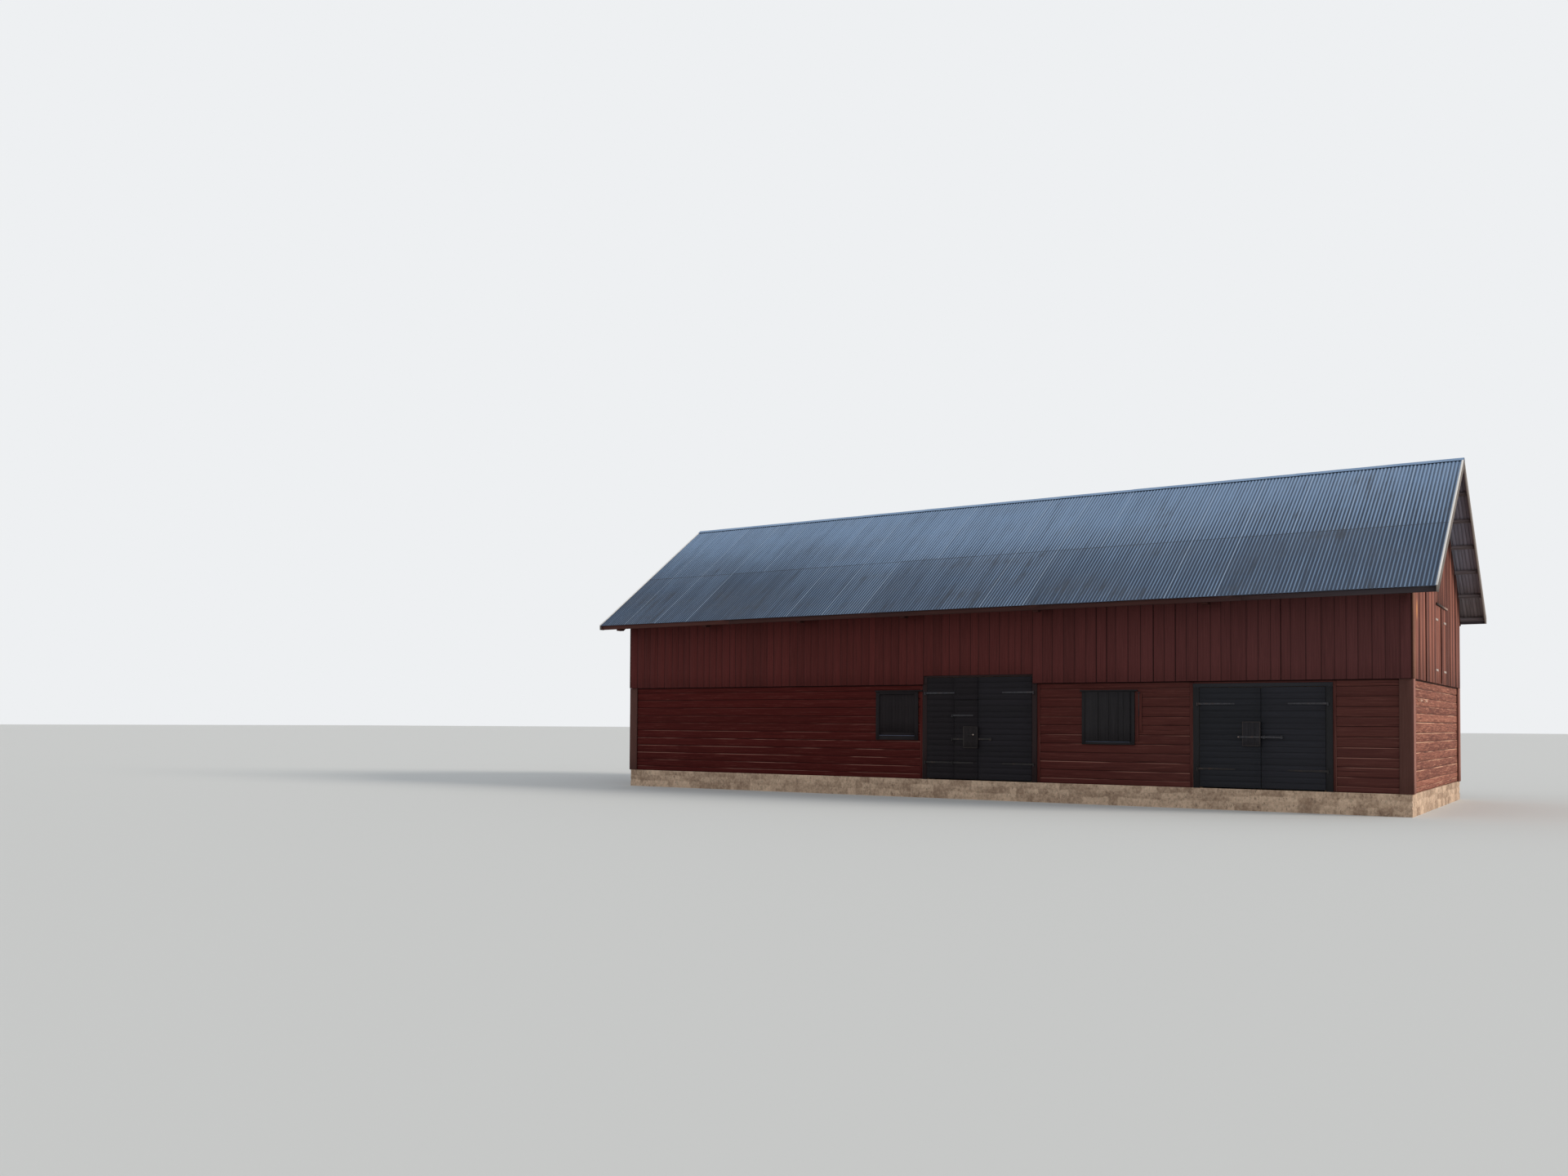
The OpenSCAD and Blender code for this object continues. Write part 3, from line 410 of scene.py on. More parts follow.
def planks(starts, ends, side, width, depth, arris=0.004, stations=4, sway=0.0008, profile=SQUARE,
           belly=0.0, first=square_end, last=square_end, tone=None):
    """Point = start + run t + side a + other b, where (a, b) is the profile scaled to each
    plank's width and depth, t goes from first(a, b) to length + last(a, b), and other is the
    cross product of run and side."""
    starts, ends = np.atleast_2d(np.asarray(starts, float)), np.atleast_2d(np.asarray(ends, float))
    count = len(starts)
    width, depth = (np.broadcast_to(np.asarray(v, float), (count,))[:, None] for v in (width, depth))
    run = ends - starts
    length = np.linalg.norm(run, axis=1)[:, None]
    run = run / length
    side = np.broadcast_to(np.asarray(side, float), (count, 3))
    other = np.cross(run, side)
    a = profile[:, 0] * width / 2 + profile[:, 2] * arris
    b = profile[:, 1] * depth / 2 + profile[:, 3] * arris + profile[:, 4] * belly
    share = np.linspace(0.0, 1.0, stations)[None, :, None]
    along = first(a, b)[:, None, :] * (1 - share) + (length + last(a, b))[:, None, :] * share
    middle = along.mean(axis=2)
    swell, wander = drift(middle, count, sway * 2)[..., None], drift(middle, count, sway)[..., None]
    a = a[:, None, :] * (1 + swell) + wander
    b = b[:, None, :] + drift(middle, count, sway)[..., None]
    rings = (starts[:, None, None] + run[:, None, None] * along[..., None]
             + side[:, None, None] * a[..., None] + other[:, None, None] * b[..., None])
    grain = np.stack([along, a + 0 * along, b + 0 * along], -1) + rng.random((count, 1, 1, 3)) * GRAIN_SHIFT
    lap = np.clip(2 * a / width[..., None], -1, 1) + 0 * along
    return tubes(rings, tone, lap, grain)


print("a plank is sawn square unless it says otherwise")

# %% Bars from boxes


def bars(boxes, run_axis, side_axis, **options):
    """Planks from boxes ((x0, y0, z0), (x1, y1, z1)) that run along one axis of the frame."""
    boxes = np.asarray(boxes, float)
    low, high = boxes[:, 0], boxes[:, 1]
    starts, ends = (low + high) / 2, (low + high) / 2
    starts[:, run_axis], ends[:, run_axis] = low[:, run_axis], high[:, run_axis]
    size = high - low
    width, depth = size[:, side_axis], size[:, 3 - run_axis - side_axis]
    return planks(starts, ends, np.eye(3)[side_axis], width, depth, **options)


def between(joints, gap=HAIR):
    """Neighbouring joints in pairs, each drawn in by a hair, so that boards don't touch."""
    return [(a + gap, b - gap) for a, b in zip(joints[:-1], joints[1:])]


def span(side, first, second):
    """Two distances from the middle plane, on its side -1 or 1, lowest first."""
    return sorted((side * first, side * second))


print("between 0, 1 and 2:", between([0, 1, 2]))

# %% [markdown]
# ## The plan
#
# These are the same sizes, in metres, as the solids are made from. The slope's own axes run
# along the barn, up the slope and square out of it, and `on_slope` turns them into the frame's
# axes for either side. A roof that is drawn on its own slope needs the pitch in one place only.

# %% Sizes shared by the pieces
HALF_L, HALF_W = 10.0, 3.92
LOG_X, LOG_Y = 9.955, 3.875
FRAME_X, FRAME_Y = 9.972, 3.892
PLINTH_TOP, LOGS_TOP, BOARDS_LOW = 0.45, 2.77, 2.73
RIDGE_Z, EAVE_Z, EAVE_Y, VERGE_X = 7.705, 4.466, 4.61, 10.5
PITCH = math.atan((RIDGE_Z - EAVE_Z) / EAVE_Y)
SIN, COS, TAN = math.sin(PITCH), math.cos(PITCH), math.tan(PITCH)
SLOPE_L = EAVE_Y / COS
SHEET_D, ROOF_BOARD_T, PURLIN_D, RAFTER_D = 0.018, 0.022, 0.075, 0.140
BOARD_DEPTH = SHEET_D
PURLIN_DEPTH = BOARD_DEPTH + ROOF_BOARD_T
RAFTER_DEPTH = PURLIN_DEPTH + PURLIN_D
UNDER_DEPTH = RAFTER_DEPTH + RAFTER_D
RIDGE_GAP, FIT = 0.004, 0.003
TRIM_T, STRIP_NOSE = 0.025, 0.005
VERGE_END = VERGE_X + TRIM_T + STRIP_NOSE
SIDES = (("front", -1), ("back", 1))
print("pitch:", round(math.degrees(PITCH), 2), "degrees")

# %% Places on the slope


def roof_z(y, depth):
    """Height of a layer of the roof over a point y, at a depth square to the slope."""
    return RIDGE_Z - np.abs(y) * TAN - depth / COS


def on_slope(x, s, depth, side):
    """The point x along the barn, s up the slope and depth under it; side is -1 in front."""
    y = EAVE_Y - s * COS - depth * SIN
    z = EAVE_Z + s * SIN - depth * COS
    x, y, z = np.broadcast_arrays(x, side * y, z)
    return np.stack([x, y, z], -1)


def ridge_s(depth):
    """How far up the slope a layer goes before it meets the one on the other side."""
    return SLOPE_L - depth * TAN - RIDGE_GAP / 2


print("slope:", round(ridge_s(0.0), 3), "m")

# %% [markdown]
# ## Painted and bare wood
#
# Red earth paint is matt, sinks into the grain and wears first along arrises and seams. Scans
# of old boards would show that, but they repeat. A recipe of nodes doesn't: it reads the grain
# attribute for streaks along the wood, the tone attribute for the difference between one board
# and the next, and the lap attribute to find the edges. Inside the walls the wood was never
# painted, and the recipe finds that side from the place.
# Part of the colour is painted light: shade in the joints' grooves, highlights along the logs' upper arrises,
# and a shadow under the boards' lower edge.

# %% Parts of the wood recipe
OLD_PINE = ((104, 88, 74), (150, 130, 108))
NEW_PINE = ((120, 92, 64), (160, 128, 92))


def slope_grain(finish, place):
    """The place turned so that X runs up the slope: X = z sin - |y| cos, Y = z cos + |y| sin."""
    reach, height = abs(finish.axis(place, Y)), finish.axis(place, Z)
    turned = {"X": height * SIN - reach * COS, "Y": height * COS + reach * SIN, "Z": finish.axis(place, X)}
    return finish.node("ShaderNodeCombineXYZ", None, turned)


def seam_highlight_line(finish, place, lap, grain, below):
    """Painted highlights: thin pale lines near a log's upper edge, in patches, fewer higher up."""
    line = finish.mask(lap, 0.75, 0.80) * finish.mask(lap, 0.94, 0.91)
    patchy = finish.mask(finish.noise(grain, (0.7, 14.0, 14.0)), 0.42, 0.60)
    if below:
        patchy = patchy * (finish.mask(finish.axis(place, Z), below, below - 1.0) * 0.85 + 0.15)
    return line * patchy


def gable_patch(finish, place, y0, y1, z0, z1):
    """1 inside a soft-edged rectangle of a gable."""
    across, height = finish.axis(place, Y), finish.axis(place, Z)
    patch = finish.mask(across, y0, y0 + 0.08) * finish.mask(across, y1, y1 - 0.08)
    return patch * finish.mask(height, z0, z0 + 0.25) * finish.mask(height, z1, z1 - 0.25)


print("raw wood:", OLD_PINE)

# %% The wood recipe
WOOD_RELIEF = 0.0012


def wood(name, dark, light, bare, spread=0.35, banding=0.6, streaks=(1.2, 40.0, 40.0), streaking=0.8,
         worn=0.12, checks=0.5, edge=0.5, joint=(0.90, 0.98), painted_light_on_sides=None, toward=None,
         seam_highlight=0.0, seam_highlight_below=None, bare_patch=None, painted_shadow_above=None, within=None,
         raw=OLD_PINE, along_slope=False, gloss=0.85, shine=0.25):
    """Colour = dark to light by tone, long bands and streaks; then bare wood where fibre shows,
    dark drying cracks, painted highlights along the upper arris of logs, a bare patch, dark
    joints that are partly dirt and partly painted shade in the grooves, painted light on the
    sides instead where an edge colour is given, a painted shadow under the edge of the boards
    above, and raw wood within a distance of the barn's middle plane. Dark and light can change
    along an axis: toward = (axis, from, to, dark, light)."""
    finish = Finish(name)
    place = finish.place()
    grain = slope_grain(finish, place) if along_slope else finish.attribute("grain", vector=True)
    lap, tone = finish.attribute("lap"), finish.attribute("tone")
    dark, light, bare = paint(*dark), paint(*light), paint(*bare)
    deep = (*[0.22 * v for v in dark[:3]], 1.0)
    if toward:
        axis, start, end, *others = toward
        along = finish.mask(finish.axis(place, axis), start, end)
        dark, light = (finish.mix(along, own, paint(*other)) for own, other in zip((dark, light), others))
    band = finish.noise(grain, (0.4, 8.0, 8.0))
    streak = finish.noise(grain, streaks, 4.0, 0.6)
    fibre = finish.noise(grain, (5.0, 190.0, 190.0), 3.0, 0.6)
    share = (tone - 0.5) * spread + (band - 0.5) * banding + (streak - 0.5) * streaking + 0.5
    share = finish.mask(share, 0.1, 0.9)
    colour = finish.mix(share, dark, light)
    colour = finish.mix(finish.mask(streak * 0.5 + fibre * 0.5, 0.53, 0.66) * worn, colour, bare)
    crack = finish.mask(finish.noise(grain, (0.9, 75.0, 75.0), 2.0), 0.64, 0.72)
    colour = finish.mix(crack * checks, colour, deep)
    # Painted highlight along the upper arris of each log, in the colour of bare wood.
    if seam_highlight:
        colour = finish.mix(seam_highlight_line(finish, place, lap, grain, seam_highlight_below) * seam_highlight, colour, bare)
    if bare_patch:
        *corners, patch_colour = bare_patch
        patch = gable_patch(finish, place, *corners) * finish.mask(streak, 0.34, 0.5)
        colour = finish.mix(patch, colour, paint(*patch_colour))
    # Dark joints: partly dirt and partly painted shade in the grooves.
    at_edge = finish.mask(abs(lap), *joint)
    # Painted light: a given edge colour lightens a piece's sides, which lie in shade, instead of darkening
    # the joint.
    if painted_light_on_sides:
        colour = finish.mix(at_edge * edge, colour, paint(*painted_light_on_sides))
    else:
        colour = finish.mix(at_edge * (tone * 0.6 + 0.6) * edge, colour, deep)
    # Painted shadow: a dark band on the logs just under the lower edge of the boards.
    if painted_shadow_above:
        under = finish.mask(finish.axis(place, Z), painted_shadow_above - 0.012, painted_shadow_above)
        colour = finish.mix(under * 0.85, colour, deep)
    if within:
        axis, limit = within
        inner = finish.mask(abs(finish.axis(place, axis)), limit + 0.002, limit - 0.002)
        colour = finish.mix(inner, colour, finish.mix(share, paint(*raw[0]), paint(*raw[1])))
    finish.shader.inputs["Specular IOR Level"].default_value = shine
    return finish.surface(Base_Color=colour, Roughness=finish.rough(fibre, gloss - 0.06, gloss + 0.06),
                          Normal=finish.bump(streak * 0.6 + fibre * 0.4, WOOD_RELIEF))


print("the wood recipe is ready")

# %% [markdown]
# ## Red paint
#
# The long front lies in shade and has kept a deep, even red, browner towards the right end.
# The sunny gable has weathered to a streaky brown, with bare wood in the grain, and one patch
# has lost its paint. The logs show pale lines at their seams, most of them low down, which are
# painted highlights on the logs' upper arrises. Each wall has its own finish, because its paint
# has had its own weather, and because its colours hold painted light: lighter on the sunny gable
# and its corner boards, darker on the shaded front and the left gable.

# %% Red paint
BEHIND_BOARDS, BEHIND_LOGS = (Y, 3.894), (Y, 3.842)
BEHIND_GABLE_BOARDS, BEHIND_GABLE_LOGS = (X, 9.9735), (X, 9.925)
# UNDER_BOARDS is the top of the painted shadow on the logs under the boards' lower edge.
UNDER_BOARDS = 2.705

# Painted shade: the front's paints are darker than the gable's, partly weather and partly painted shade.
front_board_paint = wood(
    "front_board_paint", (74, 27, 24), (95, 37, 34), (124, 78, 70), spread=0.3, banding=0.35, edge=0.6,
    joint=(0.89, 0.96), within=BEHIND_BOARDS, toward=(X, -3.0, 10.0, (76, 39, 38), (96, 52, 51)))
front_log_paint = wood(
    "front_log_paint", (65, 18, 15), (84, 26, 23), (150, 104, 92), spread=0.15, banding=0.4, worn=0.2,
    checks=0.8, edge=0.75, joint=(0.88, 0.96), seam_highlight=0.9, seam_highlight_below=2.1, painted_shadow_above=UNDER_BOARDS,
    within=BEHIND_LOGS, shine=0.12, toward=(X, -3.5, 8.5, (72, 38, 35), (94, 53, 47)))
# Painted light: the sunny gable's paints are lighter, partly weather and partly painted sunlight.
gable_board_paint = wood(
    "gable_board_paint", (87, 42, 32), (148, 89, 73), (186, 134, 108), spread=0.9, streaks=(0.8, 26.0, 26.0),
    streaking=1.5, worn=0.5, checks=0.9, edge=0.9, joint=(0.86, 0.95), within=BEHIND_GABLE_BOARDS,
    toward=(Y, -3.45, -3.75, (92, 54, 38), (164, 112, 84)),
    bare_patch=(-3.49, -3.24, 3.85, 4.40, (216, 146, 94)))
gable_log_paint = wood(
    "gable_log_paint", (100, 51, 39), (162, 101, 80), (216, 164, 134), spread=0.2, streaks=(2.2, 30.0, 30.0),
    streaking=1.2, worn=0.6, checks=0.95, edge=0.9, joint=(0.88, 0.96), seam_highlight=1.0,
    painted_shadow_above=UNDER_BOARDS, within=BEHIND_GABLE_LOGS)
# Painted shade: the left gable takes dark colours like the shaded front's.
left_gable_board_paint = wood(
    "left_gable_board_paint", (80, 31, 28), (102, 42, 39), (124, 78, 70), edge=0.8,
    within=BEHIND_GABLE_BOARDS)
left_gable_log_paint = wood(
    "left_gable_log_paint", (72, 25, 22), (98, 41, 36), (150, 104, 92), spread=0.15, worn=0.2, checks=0.8,
    edge=0.9, joint=(0.88, 0.96), seam_highlight=0.6, painted_shadow_above=UNDER_BOARDS, within=BEHIND_GABLE_LOGS)
# Painted shade: the corner boards of the front and the left gable are dark like the shaded front.
corner_paint = wood("corner_paint", (82, 50, 43), (98, 64, 57), (124, 90, 80), worn=0.1, edge=0.4)
# Painted light: the right gable's corner boards are lighter, partly weather and partly painted sunlight.
corner_gable_paint = wood(
    "corner_gable_paint", (134, 86, 74), (168, 118, 104), (200, 160, 142), worn=0.3, edge=0.3)
fascia_paint = wood(
    "fascia_paint", (58, 31, 27), (80, 45, 39), (114, 86, 74), spread=0.8, edge=0.2,
    toward=(X, 5.0, 10.0, (58, 51, 54), (76, 68, 72)))
print("red paints:", sum("paint" in material.name for material in bpy.data.materials))

# %% [markdown]
# ## Bare and weathered wood
#
# The roof's timbers are grey from age, and the roof boards turn bluish grey higher up, a
# painted sky light. The capping is bleached almost white, and the frame inside is still the
# colour of pine. The rafters' tails outside the walls carry the fascia's red, so their recipe
# changes at the wall. Their grain runs up the slope, and because their solids have no grain
# attribute, it comes from the place.

# %% Bare and weathered wood
bleached_board = wood(
    "bleached_board", (232, 228, 224), (250, 248, 246), (250, 248, 246), checks=0.2, edge=0.0)
barge_wood = wood("barge_wood", (116, 106, 99), (146, 136, 129), (166, 157, 150), edge=0.3)
# Painted light: the roof boards turn bluish grey higher up, a painted sky light on the soffit.
roof_plank = wood(
    "roof_plank", (106, 95, 95), (143, 131, 132), (166, 156, 158), spread=0.3, edge=0.36,
    joint=(0.5, 0.9), toward=(Z, 4.6, 5.8, (115, 113, 122), (154, 153, 168)))
# Painted light: the purlins' sides, which face up and down the slope and lie in shade, are painted paler.
purlin_wood = wood(
    "purlin_wood", (88, 78, 78), (106, 96, 97), (128, 118, 118), edge=1.0, painted_light_on_sides=(150, 136, 138))
frame_timber = wood("frame_timber", *NEW_PINE, (190, 164, 130), edge=0.3)
rafter_wood = wood(
    "rafter_wood", (62, 37, 34), (80, 49, 45), (90, 60, 54), along_slope=True, within=(Y, HALF_W),
    raw=NEW_PINE, edge=0.0, shine=0.0)
# Painted shade and sunlight: the drip board is dark at its left end and pale at its right end.
hood_wood = wood(
    "hood_wood", (44, 34, 31), (66, 52, 47), (150, 118, 104), worn=0.4, edge=0.2,
    toward=(Y, 0.3, 1.2, (120, 92, 82), (176, 144, 130)))
print("roof, frame and hood have their wood")

# %% [markdown]
# ## Tar
#
# Doors, shutters and casings are tarred, which is almost black and a little glossier than the
# paint. The colours shift from part to part along the front, and the low casing is lighter at
# its head than at its sides. The backs of the leaves are bare.

# %% Tar
BEHIND_LEAVES = (Y, 3.868)

tar_tall = wood(
    "tar_tall", (13, 7, 11), (24, 18, 23), (44, 40, 44), spread=0.25, banding=0.3, checks=0.3, edge=0.55,
    joint=(0.84, 0.94), within=BEHIND_LEAVES, gloss=0.78, toward=(X, 0.60, 0.80, (19, 16, 20), (31, 27, 33)))
tar_low = wood(
    "tar_low", (23, 24, 28), (34, 35, 41), (56, 56, 60), spread=0.25, banding=0.3, checks=0.3, edge=0.42,
    joint=(0.84, 0.94), within=BEHIND_LEAVES, gloss=0.78, toward=(X, 7.05, 7.20, (28, 28, 33), (39, 39, 46)))
tar_shutter = wood(
    "tar_shutter", (19, 12, 15), (32, 25, 27), (64, 60, 58), banding=0.4, checks=0.4, edge=0.8, gloss=0.8,
    toward=(X, 0.0, 2.0, (28, 25, 27), (43, 40, 42)))
tar_casing = wood(
    "tar_casing", (25, 24, 25), (36, 35, 37), (60, 60, 62), checks=0.3, edge=0.3, gloss=0.8,
    toward=(Z, 2.57, 2.60, (32, 32, 35), (44, 44, 48)))
tar_tall_casing = wood(
    "tar_tall_casing", (34, 22, 22), (47, 32, 32), (60, 56, 54), checks=0.3, edge=0.3, gloss=0.8)
lock_wood = wood(
    "lock_wood", (28, 23, 24), (40, 35, 36), (74, 68, 66), worn=0.3, edge=0.3,
    toward=(X, 2.0, 5.0, (34, 32, 35), (49, 46, 50)))
lock_rim = wood("lock_rim", (52, 46, 45), (70, 63, 61), (100, 92, 90), worn=0.3, edge=0.0)
sill_paint = wood("sill_paint", (60, 62, 74), (80, 83, 98), (106, 108, 118), edge=0.0)
print("wood finishes are ready")

# %% [markdown]
# ## Corrugated roof
#
# Each sheet is fourteen waves wide and laps over the next by half a wave, and there are two
# courses on each slope. Waves that are only bump would leave the eave and the verge straight,
# so the wave is real: a cosine of the place across the sheet. A sheet leans by its own
# thickness from one edge to the other, so that it lies over its neighbour without touching it.

# %% Roof sheets
WAVE = 0.0762
WAVES_A_SHEET = 14
STEPS_A_WAVE = 8
SHEET_T, SHEET_LEAN, SHEET_PLAY = 0.0009, 0.0011, 0.0012
SHEET_STATIONS, SHEET_UNEVEN, SHEET_SAG = 8, 0.008, 0.0005
COURSE_S = SLOPE_L * 0.46
LAP_OVER = 0.10
LAP_EDGE, FIRST_SHEET, LAST_SHEET = 3.178, -12, 7
CREST_SHIFT = 0.008


def sheet_course(low, high, side, rise):
    """Depth below the crests = d/2 (1 - cos 2 pi x / wave), carried up the slope in stations
    that lift by a fraction of a millimetre."""
    cover = WAVE * WAVES_A_SHEET
    edge = LAP_EDGE + cover * np.arange(FIRST_SHEET, LAST_SHEET + 1)
    count = len(edge)
    x0, x1 = np.maximum(edge - cover - WAVE / 2, -VERGE_X), np.minimum(edge, VERGE_X)
    across = np.linspace(0.0, 1.0, STEPS_A_WAVE * WAVES_A_SHEET + STEPS_A_WAVE // 2 + 1)
    x = x0[:, None] + (x1 - x0)[:, None] * across
    crest = np.cos(2 * np.pi * (x - LAP_EDGE + CREST_SHIFT) / WAVE)
    wave_depth = SHEET_D - SHEET_T - 2 * rise - SHEET_PLAY
    top = rise + wave_depth / 2 * (1 - crest) + SHEET_LEAN * (1 - across)
    depth = np.concatenate([top, top[:, ::-1] + SHEET_T], 1)
    x, crest = (np.concatenate([v, v[:, ::-1]], 1) for v in (x, crest))
    start = low + rng.random(count) * SHEET_UNEVEN
    stations = np.linspace(0.0, 1.0, SHEET_STATIONS)
    s = start[:, None] + (high - start)[:, None] * stations
    sag = np.abs(SHEET_SAG * np.sin(stations * 9 + rng.random((count, 1)) * 6))
    rings = on_slope(x[:, None, :], s[..., None], depth[:, None, :] + sag[..., None], side)
    crest, s = np.broadcast_arrays(crest[:, None, :], s[..., None])
    lap = 2 * np.concatenate([across, across[::-1]]) - 1
    return tubes(rings, rng.random(count), lap, np.stack([crest, s, 0 * s], -1))


print("sheets in a course:", LAST_SHEET + 1 - FIRST_SHEET, "and a lap at", round(COURSE_S, 3), "m")

# %% [markdown]
# ## Weathered steel
#
# The zinc has gone blue grey, with dark streaks down the slope and paler crests; the paler
# crests are partly wear and partly painted sunlight on the waves. Grime lies on the lower
# course. It reaches higher at both ends, and it is deepest at the left one. A noise alone can't
# know a crest from a valley, so the sheets carry their crest and their distance up the slope in
# the grain attribute, and the shadow lines of the laps follow the metal itself.

# %% Weathered steel
CAP_FLANGE = 0.150

steel = Finish("weathered_steel")
on_roof = steel.place()
sheet_tone = steel.attribute("tone")
on_sheet = steel.attribute("grain", vector=True)
crest, up_slope = steel.axis(on_sheet, 0), steel.axis(on_sheet, 1)
streaks = steel.noise(on_roof, (7.0, 0.5, 0.5), 4.0, 0.6)
fine_streaks = steel.noise(on_roof, (30.0, 1.0, 1.0), 3.0, 0.6)
patches = steel.noise(on_roof, (0.6, 0.9, 0.9), 3.0, 0.6)
along_roof = steel.axis(on_roof, X)
right_end = steel.mask(along_roof, 3.5, 9.0)
left_grime = steel.mask(along_roof, -2.5, -5.5)
upper = steel.mask(up_slope - right_end * 1.2 - left_grime * 0.8, 0.4, SLOPE_L - 0.9)
upper_course = steel.mask(up_slope, COURSE_S - 0.01, COURSE_S + 0.01)
# Painted light: the crest term makes the crests paler, partly wear and partly painted sunlight on the waves.
bright = (streaks * 0.50 + fine_streaks * 0.25 + patches * 0.40 + sheet_tone * 0.14 + upper * 0.46
          + upper_course * 0.05 + (1 - upper) * (right_end * 0.05 - left_grime * 0.13)
          + steel.mask(crest, -0.5, 0.95) * 0.62 - 0.525)
zinc = steel.mix(steel.mask(bright, 0.30, 1.15), paint(37, 55, 78), paint(132, 158, 190))
dirt = steel.mask(streaks * 0.6 + patches * 0.4 + upper * 0.08, 0.47, 0.34)
zinc = steel.mix(dirt * 0.6, zinc, paint(34, 44, 58))
lap_shadow = (steel.mask(up_slope, COURSE_S - 0.024, COURSE_S - 0.012)
              * steel.mask(up_slope, COURSE_S + 0.012, COURSE_S))
cap_shadow = steel.mask(up_slope, SLOPE_L - CAP_FLANGE - 0.030, SLOPE_L - CAP_FLANGE - 0.008)
zinc = steel.mix(lap_shadow * 0.75 + cap_shadow * 0.6, zinc, paint(26, 32, 42))
bright_lap = steel.mask(steel.attribute("lap"), 0.968, 0.975) * steel.mask(sheet_tone, 0.55, 0.6)
zinc = steel.mix(bright_lap * 0.7, zinc, paint(168, 188, 212))
steel.surface(Base_Color=zinc, Roughness=steel.rough(patches, 0.5, 0.7), Metallic=0.25,
              Normal=steel.bump(fine_streaks, 0.0004))

print("steel over", round(2 * VERGE_X, 1), "m")

# %% Sheets on both slopes
COURSES = (("lower", 0.0, COURSE_S + LAP_OVER, 0.0028), ("upper", COURSE_S, ridge_s(SHEET_D), 0.0004))
for label, side in SIDES:
    for course, low, high, rise in COURSES:
        make_piece(f"{label}_roof_sheets_{course}", [sheet_course(low, high, side, rise)], steel.material,
                   nodes=[f"{label}_sheets_{course}"], smooth=0.7)

# %% [markdown]
# ## Ridge cap
#
# Bent sheets two metres long lie over the ridge, each over the end of the next. The profile
# goes up one flange, round a small roll at the top, down the other flange, and back below
# itself by the sheet's thickness. The lower edges wander a little, as bent by hand. The cap has
# the sheets' finish, with one bright crest value all over, so the crests' painted light lies on
# all of it.

# %% Ridge cap
CAP_ROLL, CAP_T, CAP_LIFT, CAP_LENGTH, CAP_OVER = 0.016, 0.0012, 0.0012, 1.95, 0.06
CAP_POINTS, CAP_STATIONS = 25, 13
CAP_ROUND, CAP_LAP, CAP_WAVER, CAP_SHRINK = 0.62, 0.0026, 0.0007, 0.02
CAP_CREST, CAP_UP = 0.9, 5.0


def cap_lengths():
    """Height over y = slope's height + lift, rounded at the top by a square root of y^2 + r^2.
    Each y is stretched by a sine of x, so that the edges wave by a few millimetres."""
    y = CAP_FLANGE * COS * np.sin(np.linspace(-np.pi / 2, np.pi / 2, CAP_POINTS))
    y = np.concatenate([y, y[::-1]])
    thick = np.repeat([CAP_T / COS, 0.0], CAP_POINTS)
    count = int(math.ceil(2 * VERGE_END / CAP_LENGTH))
    left = -VERGE_END + CAP_LENGTH * np.arange(count)
    share = np.linspace(0.0, 1.0, CAP_STATIONS)
    x = np.minimum(left[:, None] + (CAP_LENGTH + CAP_OVER) * share, VERGE_END)
    lift = CAP_LAP * (1 - share) + CAP_WAVER * np.sin(14 * share + rng.random((count, 1)) * 6)
    stretch = 1 - CAP_SHRINK + CAP_SHRINK * np.sin(7.3 * x) * np.sin(2.1 * x)
    y = y * stretch[..., None]
    z = RIDGE_Z + CAP_ROLL * TAN * CAP_ROUND - TAN * np.sqrt(y * y + CAP_ROLL * CAP_ROLL) + CAP_LIFT / COS
    rings = np.stack([x[..., None] + 0 * y, y, z + thick + lift[..., None]], -1)
    return tubes(rings, 0.5 * rng.random(count), grain=np.broadcast_to([CAP_CREST, CAP_UP, 0.0], rings.shape))


make_piece("ridge_cap_sheets", [cap_lengths()], steel.material, nodes=["ridge_cap"], smooth=0.7)

# %% [markdown]
# ## Roof carpentry
#
# Boards run down the slope on the purlins and show from below, past the gable. Purlins lie on
# rafters, and the rafters are seated on the wall plates over each frame. The rafters keep their
# notched solids, because those shapes are right, and get only a finish.

# %% Roof boards, purlins and rafters
PURLINS, PURLIN_W, RAFTER_W, ROOF_BOARD_W = 7, 0.075, 0.125, 0.0765
FASCIA_IN, FASCIA_H = 0.040, 0.125
FASCIA_Y = EAVE_Y - FASCIA_IN
FASCIA_BACK = FASCIA_Y - TRIM_T
ROOF_START = (EAVE_Y - FASCIA_BACK - SHEET_D * SIN) / COS + FIT
purlin_places = np.linspace(ROOF_START + PURLIN_W / 2, ridge_s(RAFTER_DEPTH) - PURLIN_W, PURLINS)
board_count = int(round(2 * VERGE_X / ROOF_BOARD_W))
board_w = 2 * VERGE_X / board_count
board_x = -VERGE_X + (np.arange(board_count) + 0.5) * board_w

for label, side in SIDES:
    depth = BOARD_DEPTH + ROOF_BOARD_T / 2 + HAIR
    starts = on_slope(board_x, ROOF_START + 0.002, depth, side)
    ends = on_slope(board_x, ridge_s(PURLIN_DEPTH) - 0.004, depth, side)
    boards = planks(starts, ends, (1, 0, 0), board_w - 2 * HAIR, ROOF_BOARD_T - 0.002, stations=3,
                    sway=0.0003, profile=GROOVED)
    make_piece(f"{label}_roof_boards", [boards], roof_plank, nodes=["roof_boards"])

purlins = []
for side in (-1, 1):
    depth = PURLIN_DEPTH + PURLIN_D / 2
    starts, ends = (on_slope(x, purlin_places, depth, side) for x in (-VERGE_X, VERGE_X))
    purlins.append(planks(starts, ends, (0, side * -COS, SIN), PURLIN_W, PURLIN_D, stations=8))
make_piece("roof_purlins", purlins, purlin_wood, nodes=["purlins"])
dress(rafter_wood, "rafters_front", "rafters_back")

